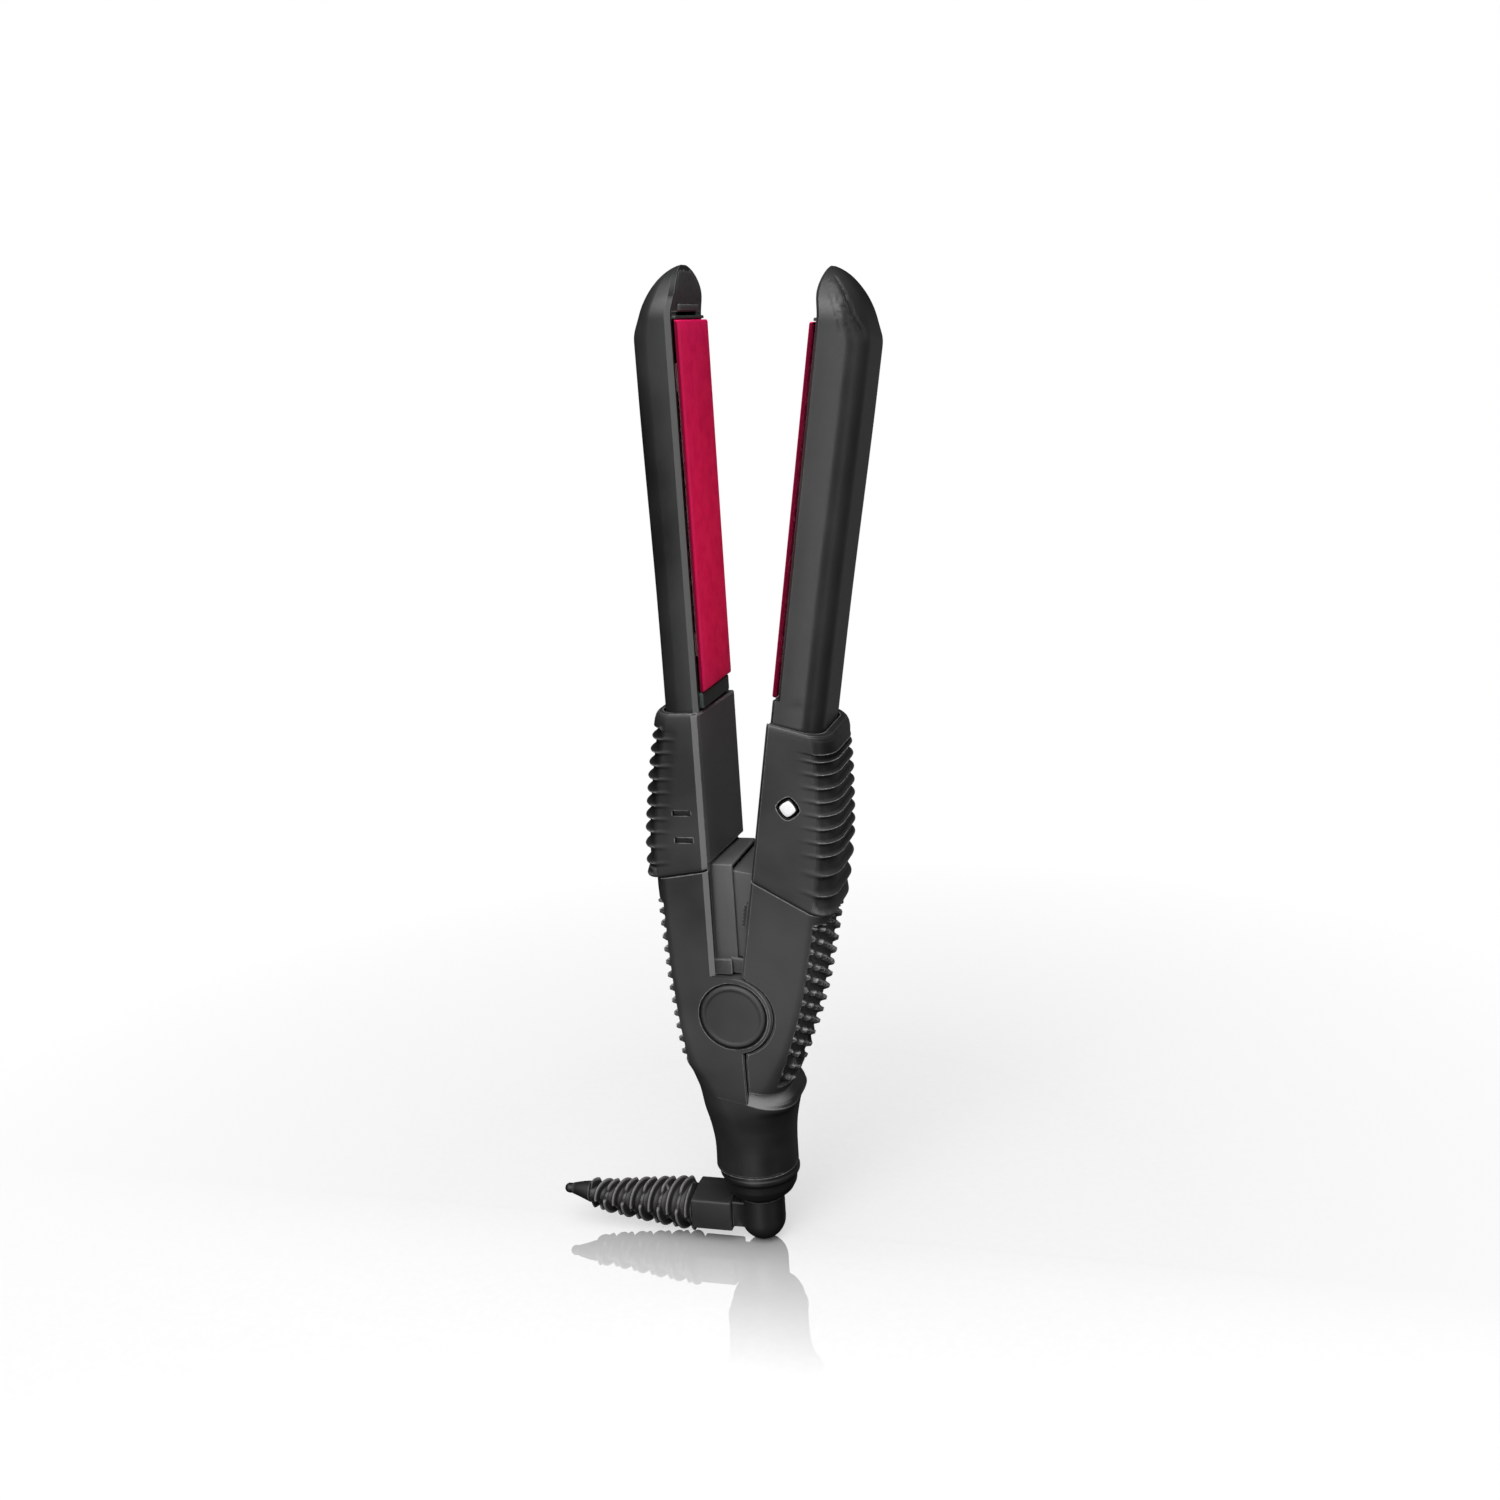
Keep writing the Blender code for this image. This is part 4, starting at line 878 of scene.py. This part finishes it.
def core_rings(arm, relief):
    """Under the grip sleeve, then the sloped step and the handle below it."""
    edge, end, end_slope = WALL_EDGE[arm], GRIP_END[arm], GRIP_END_SLOPE[arm]
    bevel = EDGE_BEVEL[arm]
    rings = []
    for z in (CORE_TOP, 58, 50, 43):
        outer = curve_at(GRIP_OUTER, z) - 2.6
        rings.append(section(z, edge, outer, CORE_HALF, CORE_CORNER, bevel))
    outer = curve_at(GRIP_OUTER, end + end_slope * 12) - 2.6
    rings.append(section(end, edge, outer, CORE_HALF, CORE_CORNER, bevel, slope=end_slope))
    rings.append(handle_section(arm, end - 0.3, edge, bevel, end_slope))
    for z in steps(end - 0.8, LOBE_RADIUS + 0.8, 0.4):
        fade = ease((z - 24) / (end - 24))
        rings.append(handle_section(arm, z, edge, bevel, end_slope * fade, relief))
    return rings


def fixed_handle():
    relief = stud_relief("fixed", -14.5, 30)
    rings = core_rings("fixed", relief)
    edge = WALL_EDGE["fixed"]
    rings.append(handle_section("fixed", LOBE_RADIUS + 0.4, edge, EDGE_BEVEL["fixed"], relief=relief))
    for degrees in steps(86, -65, 2.2):
        turn = math.radians(degrees)
        z = LOBE_RADIUS * math.sin(turn)
        rings.append(handle_section("fixed", z, -LOBE_RADIUS * math.cos(turn), relief=relief))
    for z in steps(-9.4, -25.5, 0.35):
        inset = 0.5 * ease((-23.1 - z) / 0.8)
        slope = LEDGE_SLOPE * ease((-12.0 - z) / 8)
        rings.append(handle_section("fixed", z, -BASE_WALL, (0.3, 0.3), slope, relief, inset))
    shell = cut(join(loft(rings), base_cup()), *fixed_hollows())
    return join(shell, gap_wall((-0.3, 4.5), (-13.1, -12.1)))


def base_cup():
    """The cup under the moving arm's tail, with a broad bevel up to its rim."""
    rings = []
    rise, inset = LEDGE_BEVEL
    bevel = [(0, 1.0), (0.12, 0.86), (0.3, 0.66), (0.5, 0.44), (0.7, 0.24), (0.86, 0.09)]
    bevel += [(0.94, 0.0), (1.0, 0.0)]
    for t, share in bevel:
        z = LEDGE - rise * t
        back = inset * share
        reach = curve_at(CUP_OUTER, z) - back
        far = (8.2 - back * 0.5, 9.2 - back)
        rings.append(handle_section("fixed", z, -reach, far, LEDGE_SLOPE, None, back, True))
    for z in steps(LEDGE - rise - 0.6, CUP_BOTTOM, 0.6):
        blend = ease((LEDGE - rise - z) / 5)
        reach = curve_at(CUP_OUTER, z)
        far = min(curve_at(CORNER_WIDTH, z), reach - 0.2)
        wide = (8.2 + (far - 8.2) * blend, 9.2 + (far - 9.2) * blend)
        rings.append(handle_section("fixed", z, -reach, wide, LEDGE_SLOPE * (1 - blend), round_edge=True))
    return loft(rings)


def hollow(arm, stations, inner=-2.0):
    """A room from (height, outer wall, half width) stations, open past the inner side."""
    rings = []
    for z, wall, half in stations:
        outer = curve_at(HANDLE_OUTER[arm], z) - wall
        rings.append(plain_section(z, inner, outer, half, (4.5, 7.5)))
    return loft(rings)


def fixed_hollows():
    """The same rooms as in the CAD shell: handle, knuckle, wire channel, cup, spring box and pivot."""
    upper = [(CORE_TOP + 1, 3.9, 11.2), (45, 3.6, 11.2), (32, 3.6, 11.2), (30, 2.4, 12.0)]
    upper += [(LOBE_RADIUS + 0.6, 2.4, 12.0)]
    knuckle = [(LOBE_RADIUS + 0.7, 2.4, 11.0), (-11.2, 2.4, 11.0)]
    channel = []
    for z in (-11.0, -18, -28):
        outer = curve_at(HANDLE_OUTER["fixed"], z) - 2.4
        half = curve_at(HANDLE_HALF, z) - 2.2
        channel.append(plain_section(z, -0.2, outer, half, (6.5, 6.5)))
    cup = []
    for z in (-43.2, -38, -33, -27):
        outer = curve_at(HANDLE_OUTER["fixed"], z) - 2.0
        half = curve_at(HANDLE_HALF, z) - 2.0
        reach = curve_at(CUP_OUTER, z) - 2.0
        cup.append(plain_section(z, -reach, outer, half, (7.7, 8), (7.7, 8)))
    tools = [hollow("fixed", upper), hollow("fixed", knuckle, -14), loft(channel), loft(cup)]
    tools.append(box((-2, 10), (-11.9, 11.9), (11.6, 39.0)))
    tools.append(rod(5.0, (CUP_BOTTOM - 2, -41)))
    tools.append(across(rod(3.3, (-15, 15), 48)))
    for side in (-1, 1):
        tools.append(across(rod(8.5, sorted((side * 12.7, side * 16)), 96)))
    return tools


def gap_wall(x, y):
    """A low wall across the front of the gap above the pivot; the two arms' walls slide past each other."""
    return softened(box(x, y, (10.2, 14.2)), 0.45, 3)


def tail_inner(z):
    clear = BASE_WALL + 0.35
    return (clear - z * math.sin(OPEN_ANGLE)) / math.cos(OPEN_ANGLE)


def moving_handle():
    relief = stud_relief("moving", -17, 30)
    rings = core_rings("moving", relief)
    reach = LOBE_RADIUS + LOBE_GAP
    for degrees in steps(78, -65, 2.2):
        turn = math.radians(degrees)
        rings.append(handle_section("moving", reach * math.sin(turn), reach * math.cos(turn), relief=relief))
    for z in steps(-11.0, TAIL_BOTTOM, 0.4):
        rings.append(handle_section("moving", z, tail_inner(z), relief=relief))
    cavity = [(CORE_TOP + 1, 4.4, 11.2), (45, 4.1, 11.2), (32, 4.1, 11.2), (30, 2.5, 12.0)]
    cavity += [(0, 2.5, 12.0), (-10, 2.5, 12.0), (TAIL_BOTTOM + 1.8, 2.5, 11.6)]
    pocket = box((-2, 10), (-11.9, 11.9), (11.6, 39.0))
    shell = cut(loft(rings), hollow("moving", cavity), pocket)
    eyes = []
    for side in (-1, 1):
        turn = [math.radians(degrees) for degrees in range(90, 271, 5)]
        outline = [(6.5 * math.cos(a), 6.5 * math.sin(a)) for a in turn]
        outline += [(curve_at(HANDLE_OUTER["moving"], z) - 2.2, z) for z in (-5.0, 8.0)]
        eyes.append(prism(outline, sorted((side * 7.6, side * 10.2))))
    shell = join(shell, *eyes)
    lens_hole = prism(diamond(LENS_HALF + 0.3), (-16, -9))
    shell = cut(shell, across(rod(3.3, (-15, 15), 48)), lens_hole)
    return join(shell, gap_wall((-2.6, 1.6), (-11.9, -10.9)))


def pivot_cap():
    """A disc with a raised rim round a shallow dish, made about Z with its face up."""
    profile = [(0, 13.0), (7.9, 13.0), (7.9, 14.3), (7.5, 14.7)]
    profile += [(7.0, 14.7), (6.5, 14.45), (0.4, 14.4), (0, 14.4)]
    return turned(rounded(profile, 0.3), 128)


# ---- covers ----


def cover_plate(arm):
    """The flat inner face of a handle, set between the walls; the fixed one leans towards its front."""
    face, back = COVER_FACE[arm], COVER_BACK[arm] + (1.0 if arm == "fixed" else 0.0)
    lean = 1.45 if arm == "fixed" else 0.0
    low, high = 11.9, GRIP_TOP[arm] - 0.4
    rings = []
    half = COVER_HALF
    stations = [(low, 0.3), (low + 0.3, 0)] + [(z, 0) for z in steps(low + 2, high - 2, 3)]
    for z, inset in stations + [(high - 0.3, 0), (high, 0.3)]:
        row = [(back, -half), (back, half)]
        for y in [half - k * half / 16 for k in range(33)]:
            tilt = lean * (half - y) / (2 * half)
            rounding = 0.3 * (1 - math.sqrt(max(0.0, 1 - max(0.0, (abs(y) - half + 0.3) / 0.3) ** 2)))
            row.append((face + tilt + rounding + inset, y))
        rings.append([(x, y, z) for x, y in row])
    return loft(rings)


def inner_box(size):
    half, wall = size["half"], size["wall"]
    low, high = size["ends"]
    body = softened(box((size["reach"], BOX_FLOOR + wall), (-half, half), (low, high)), 0.3, 3)
    inside = box((size["reach"] - 1, BOX_FLOOR), (wall - half, half - wall), (low + wall, high - wall))
    return body, inside


def fixed_cover():
    body, inside = inner_box(OUTER_BOX)
    lower = box((0, 3.95), (-15, 15), (10.9, 38.1))
    return cut(join(cut(cover_plate("fixed"), lower), body), inside)


def moving_cover():
    half = OUTER_BOX["half"] + 0.3
    low, high = OUTER_BOX["ends"]
    floor = box((2.0, 3.4), (-half - 0.4, half + 0.4), (11.9, high + 1.4))
    recess = box((-1, 2.2), (-half, half), (low - 0.4, high + 0.4))
    body, inside = inner_box(INNER_BOX)
    slot = box((0, 6), (-12.5, -11.5), (SLIDER[0] + 0.6, SLIDER[1] + 1.4))
    cover = cut(join(cover_plate("moving"), floor), recess, slot)
    return cut(join(cover, body), inside)


def lock_slider():
    """A thumb pad with fine cross ribs, a stem through the slot and a foot behind it."""
    rings = []
    for z in steps(SLIDER[0], SLIDER[1], 0.08):
        phase = ((z - SLIDER[0]) / 0.93) % 1.0
        face = -0.1 - 0.4 * ease(phase / 0.3) * ease((0.9 - phase) / 0.3)
        rings.append([(face, -12.85, z), (0.7, -12.9, z), (0.7, -10.9, z), (face, -10.95, z)])
    stem = box((0.4, 3.2), (-12.3, -11.7), (SLIDER[0] + 1.2, SLIDER[1] - 1.2))
    foot = box((2.8, 3.6), (-12.3, -11.5), (SLIDER[0] + 0.6, SLIDER[1] - 0.6))
    return join(loft(rings), stem, foot)


# ---- outlet ----


def swivel_collar():
    profile = [(5.0, -45.3), (9.5, -45.3), (9.75, -45.7), (9.75, -46.0), (10.1, -46.3), (10.1, -47.2)]
    profile += [(9.75, -47.7), (9.45, -48.1), (9.2, -50.2), (8.3, -52.0), (6.7, -53.4)]
    profile += [(6.4, -53.6), (5.0, -53.6)]
    return turned([profile[0]] + rounded(profile[1:-1], 0.35) + [profile[-1]], 128)


def swivel_elbow():
    """The domed knob with its shaft, and the cord block joined to it by a narrow neck."""
    profile = [(0, -33.6), (3.0, -33.6), (3.0, -41.5), (4.7, -41.5), (4.7, -41.9), (3.6, -41.9)]
    profile += [(3.6, -43.0), (4.7, -43.0), (4.7, -53.9), (KNOB_RADIUS, -54.2), (KNOB_RADIUS, KNOB_DOME)]
    for degrees in range(6, 90, 6):
        angle = math.radians(degrees)
        profile.append((KNOB_RADIUS * math.cos(angle), KNOB_DOME - KNOB_RADIUS * math.sin(angle)))
    profile.append((0, KNOB_DOME - KNOB_RADIUS))
    outline = [(-5.5, -62.9), (5.5, -62.9), (5.5, -54.0), (2.5, -53.8), (-5.5, -55.0)]
    block = softened(loft([[(x, y, z) for y, z in outline] for x in (-BLOCK_REACH, -6.9)]), 0.5, 4, 25)
    neck = softened(box((-8.5, -2.0), (-4.3, 4.3), (-62.2, -55.2)), 0.5, 3)
    return join(turned(profile), block, neck)


def boot_radius(along, angle):
    """The boot's radius at a distance from its root and an angle round it from the front."""
    share = min(1.0, along / BOOT_LENGTH)
    taper = 6.9 - 3.1 * share**1.2
    pitch = BOOT_LENGTH / BOOT_RIBS
    sweep = 1.5 * (1 - math.cos(angle))
    place = (along + sweep) / pitch
    phase = place % 1.0
    odd = int(math.floor(place)) % 2 == 0
    height = math.sin(angle)
    own = ease((height + 0.25) / 0.2) if odd else ease((0.25 - height) / 0.2)
    depth = 1.5 * max(own, ease((abs(height) - 0.72) / 0.2))
    crest = math.exp(-(abs((phase - 0.4) / 0.21) ** 2.6))
    fade = ease((BOOT_LENGTH + 0.6 - along) / 0.8)
    return taper - 1.8 + (depth + 0.3) * crest * fade + 0.3 * ease((along - BOOT_LENGTH + 1.5) / 1.5)


def boot_ring(along, radius_at, sides=96):
    """A loop round the boot's middle line, with its radius given for each angle."""
    height = CORD_HEIGHT + cord_rise(along)
    ring = []
    for k in range(sides):
        angle = 2 * math.pi * k / sides
        radius = radius_at(angle)
        ring.append((-BOOT_ROOT - along, -radius * math.cos(angle), height + radius * math.sin(angle)))
    return ring


def strain_relief_boot():
    """A tapering boot of swept ribs, ending in a pointed nozzle round the cord."""
    nozzle = [(BOOT_LENGTH + 0.8, 2.75), (BOOT_LENGTH + 2.4, 2.35), (BOOT_LENGTH + 4.2, 1.85)]
    nozzle += [(BOOT_LENGTH + 5.7, 1.45), (BOOT_LENGTH + 6.0, 1.2)]
    stations = steps(0, BOOT_LENGTH + 0.4, 0.14)
    rings = [boot_ring(along, lambda angle: boot_radius(along, angle)) for along in stations]
    rings += [boot_ring(along, lambda angle: radius) for along, radius in nozzle]
    return loft(rings)


def cord_rise(along):
    """The boot's last part bends up a little, and the cord with it."""
    return 1.3 * ease((along - BOOT_LENGTH + 6) / 12)


def cord():
    """The short end of the cord that leaves the nozzle, with its end rounded off."""
    rings = []
    for x in steps(BOOT_ROOT + BOOT_LENGTH + 2, CORD_END, 0.15):
        close = max(0.0, (x - CORD_END + 1.3) / 1.3)
        size = CORD_RADIUS * math.sqrt(max(0.02, 1 - close * close))
        ring = []
        for k in range(40):
            angle = 2 * math.pi * k / 40
            radius = size * (1 + 0.004 * math.sin(x * 1.3 + angle))
            height = CORD_HEIGHT + cord_rise(x - BOOT_ROOT)
            ring.append((-x, radius * math.cos(angle), height + radius * math.sin(angle)))
        rings.append(ring)
    return loft(rings)


# ---- assembly ----


def build_arm(arm):
    body = f"{arm}_arm"
    names = ("black_plastic", "handle_black", "grip_black")
    if arm == "fixed":
        names = ("barrel_rubbed", "handle_rubbed", "grip_rubbed")
    put(f"{arm}_barrel", barrel_shell(arm), arm, body, [f"{arm}_barrel_shell"], names[0])
    put(f"{arm}_tip", tip_insert(arm), arm, body, [f"{arm}_tip_insert"], "tip_black")
    put(f"{arm}_surround", plate_surround(arm), arm, body, [f"{arm}_plate_carrier"], "carrier_resin")
    put(f"{arm}_hot_plate", heating_plate(arm), arm, f"{arm}_plate_unit", [f"{arm}_plate"], "plate_red")
    sleeve = grip_sleeve(arm)
    if arm == "fixed":
        slots = [box((x - 2.25, x + 2.25), (-16, -13.3), (z - 0.65, z + 0.65)) for x, z in GRIP_SLOTS]
        sleeve = cut(sleeve, *slots)
    else:
        sleeve = cut(sleeve, prism(diamond(LENS_HALF + 0.35), (-16, -11)))
    put(f"{arm}_grip", sleeve, arm, body, [f"{arm}_grip_sleeve"], names[2])
    shell = fixed_handle() if arm == "fixed" else moving_handle()
    put(f"{arm}_handle", shell, arm, body, [f"{arm}_handle_shell"], names[1])
    cover = fixed_cover() if arm == "fixed" else moving_cover()
    put(f"{arm}_cover", cover, arm, body, [f"{arm}_inner_cover"], "cover_black")


def build_small_pieces():
    put("indicator", indicator_lens(), "moving", "moving_arm", ["indicator_lens"], "lamp_white")
    put("slider", lock_slider(), "moving", "lock_slider", ["lock_slider"], "swivel_black")
    for name, side in (("front", -1), ("rear", 1)):
        cap = moved(pivot_cap(), turn=Matrix.Rotation(-side * math.pi / 2, 4, "X"))
        put(f"cap_{name}", cap, "base", "fixed_arm", [f"pivot_cap_{name}"], "handle_black")
    put("collar", swivel_collar(), "base", "fixed_arm", ["swivel_collar"], "swivel_black")
    put("elbow", swivel_elbow(), "base", "cord_outlet", ["swivel_elbow"], "swivel_black")
    put("boot", strain_relief_boot(), "base", "cord_outlet", ["strain_relief_boot"], "cord_rubber")
    put("cord", cord(), "base", "cord_outlet", ["power_cord"], "cord_rubber")


def finish_frame_nodes(nodes):
    """Every CAD piece that stays takes the procedural finish of its own material slot."""
    for node in nodes.values():
        for place_in_list in node.material_slots:
            name = place_in_list.material.name.split(".")[0]
            if name in FINISHES:
                place_in_list.material = FINISHES[name]


# ---- studio ----

# Panels in reflections: turn, rise, squeeze in height, cosines where the edge starts and ends, level
PANELS = (
    (-5, -12, 0.35, 0.982, 0.999, 3.5),
    (66, -4, 0.35, 0.972, 0.996, 0.7),
    (-10, 34, 1.0, 0.9, 0.978, 4.8),
    (8, 66, 1.0, 0.78, 0.95, 2.2),
    (158, -14, 1.0, 0.883, 0.985, 0.14),
)
DARKEST = 0.006
# Soft boxes: turn and rise in degrees, distance and size in metres, power in watts
LIGHTS = {
    "key": (10, 40, 0.9, 0.7, 4.4),
    "fill": (75, 12, 1.0, 0.8, 2.0),
    "top": (0, 80, 0.9, 0.9, 6.0),
}
LIGHT_TARGET = (0.01, -0.0147, 0.05)
FLOOR_SIZE = 4.0
CAMERA_PLACE = (0.10958, -0.37533, 0.15658)
CAMERA_ANGLES = (0.2838, 0.2464, -0.0650)
CAMERA_LENS = 39.31


def way_to(turn, rise):
    """The direction at a turn to the right from the front and a rise above level, in radians."""
    return math.sin(turn) * math.cos(rise), -math.cos(turn) * math.cos(rise), math.sin(rise)


def panel(n, direction, turn, rise, squeeze, low, high, level):
    """A soft spot of light in the surroundings; a squeeze under one makes it tall."""
    flat = n.new("VectorMath", {0: direction, 1: (1, 1, squeeze)}, "MULTIPLY").outputs[0]
    unit = n.new("VectorMath", {0: flat}, "NORMALIZE").outputs[0]
    x, y, z = way_to(math.radians(turn), math.radians(rise))
    cosine = n.dot(unit, Vector((x, y, z * squeeze)).normalized())
    return n.range(cosine, low, high, 0, level, "SMOOTHSTEP")


def studio_world():
    """Soft panels over near black to reflections, a dim grey to soft light, and white to the camera and
    to the floor's mirror."""
    world = bpy.data.worlds.new("studio")
    bpy.context.scene.world = world
    n = Nodes("studio", world)
    direction = n.new("TexCoord").outputs["Generated"]
    levels = [panel(n, direction, *values) for values in PANELS]
    total = levels[0]
    for level in levels[1:] + [DARKEST]:
        total = n.math("ADD", total, level)
    ray = n.new("LightPath")
    for output, level in (("Is Diffuse Ray", 0.06), ("Is Singular Ray", 1.0), ("Is Camera Ray", 1.0)):
        total = n.new("Mix", {0: ray.outputs[output], 2: total, 3: level}).outputs[0]
    n.fill(n.tree.nodes["Background"], {"Strength": total, "Color": (1, 1, 1, 1)})


def soft_light(name, turn, rise, distance, size, power):
    """A square soft box aimed at the middle of the arms, left out of reflections."""
    way = Vector(way_to(math.radians(turn), math.radians(rise)))
    light = bpy.data.lights.new(name, "AREA")
    light.size = size
    light.energy = power
    lamp = bpy.data.objects.new(name, light)
    bpy.context.scene.collection.objects.link(lamp)
    lamp.location = Vector(LIGHT_TARGET) + way * distance
    lamp.rotation_euler = way.to_track_quat("Z", "Y").to_euler()
    lamp.visible_camera = False
    lamp.visible_glossy = False


def floor():
    """A wide pale sheet under the swivel knob: soft shadow, a mirror image that fades towards the
    front, and plain white further out."""
    mesh = bpy.data.meshes.new("floor")
    height = (KNOB_DOME - KNOB_RADIUS) * MM - 0.0002
    corners = [(x * FLOOR_SIZE, y * FLOOR_SIZE, height) for x, y in ((-1, -1), (1, -1), (1, 1), (-1, 1))]
    mesh.from_pydata(corners, [], [(0, 1, 2, 3)])
    sheet = bpy.data.objects.new("floor", mesh)
    bpy.context.scene.collection.objects.link(sheet)
    n = Nodes("floor_finish")
    fine = n.noise(500, 3)
    n.set("Base Color", n.mix(n.range(fine, 0.3, 0.7, 0, 1), (0.83, 0.83, 0.83), (0.81, 0.81, 0.815)))
    n.set("Roughness", n.range(fine, 0.3, 0.7, 0.5, 0.6))
    n.set("Specular IOR Level", 0.0)
    plain = n.tree.nodes["Principled BSDF"].outputs[0]
    mirror = n.new("BsdfGlossy", {"Roughness": 0.0}).outputs[0]
    share = n.range(n.place("Y"), -0.07, -0.012, 0.0, 0.72)
    near = n.new("MixShader", {0: share, 1: plain, 2: mirror}).outputs[0]
    distance = n.new("VectorMath", {0: n.coordinates}, "LENGTH").outputs["Value"]
    white = n.new("Emission").outputs[0]
    far = n.new("MixShader", {0: n.range(distance, 0.12, 0.3, 0.0, 1.0), 1: near, 2: white}).outputs[0]
    n.fill(n.tree.nodes["Material Output"], {"Surface": far})
    mesh.materials.append(n.owner)
    sheet.visible_glossy = False
    sheet.visible_diffuse = False


def camera():
    turn, rise, roll = CAMERA_ANGLES
    back = Vector(way_to(turn, rise))
    right = Vector((math.cos(turn), math.sin(turn), 0))
    up = back.cross(right)
    axis_x = right * math.cos(roll) + up * math.sin(roll)
    axis_y = up * math.cos(roll) - right * math.sin(roll)
    data = bpy.data.cameras.new("camera")
    data.sensor_width = 36.0
    data.lens = CAMERA_LENS
    data.clip_start = 0.01
    view = bpy.data.objects.new("camera", data)
    bpy.context.scene.collection.objects.link(view)
    matrix = Matrix((axis_x, axis_y, back)).transposed().to_4x4()
    matrix.translation = CAMERA_PLACE
    view.matrix_world = matrix
    bpy.context.scene.camera = view


FINISHES = make_finishes()
finish_frame_nodes(frame["nodes"])
build_arm("fixed")
build_arm("moving")
build_small_pieces()
studio_world()
for light_name, light_values in LIGHTS.items():
    soft_light(light_name, *light_values)
floor()
camera()
bpy.context.scene.view_settings.view_transform = "Standard"
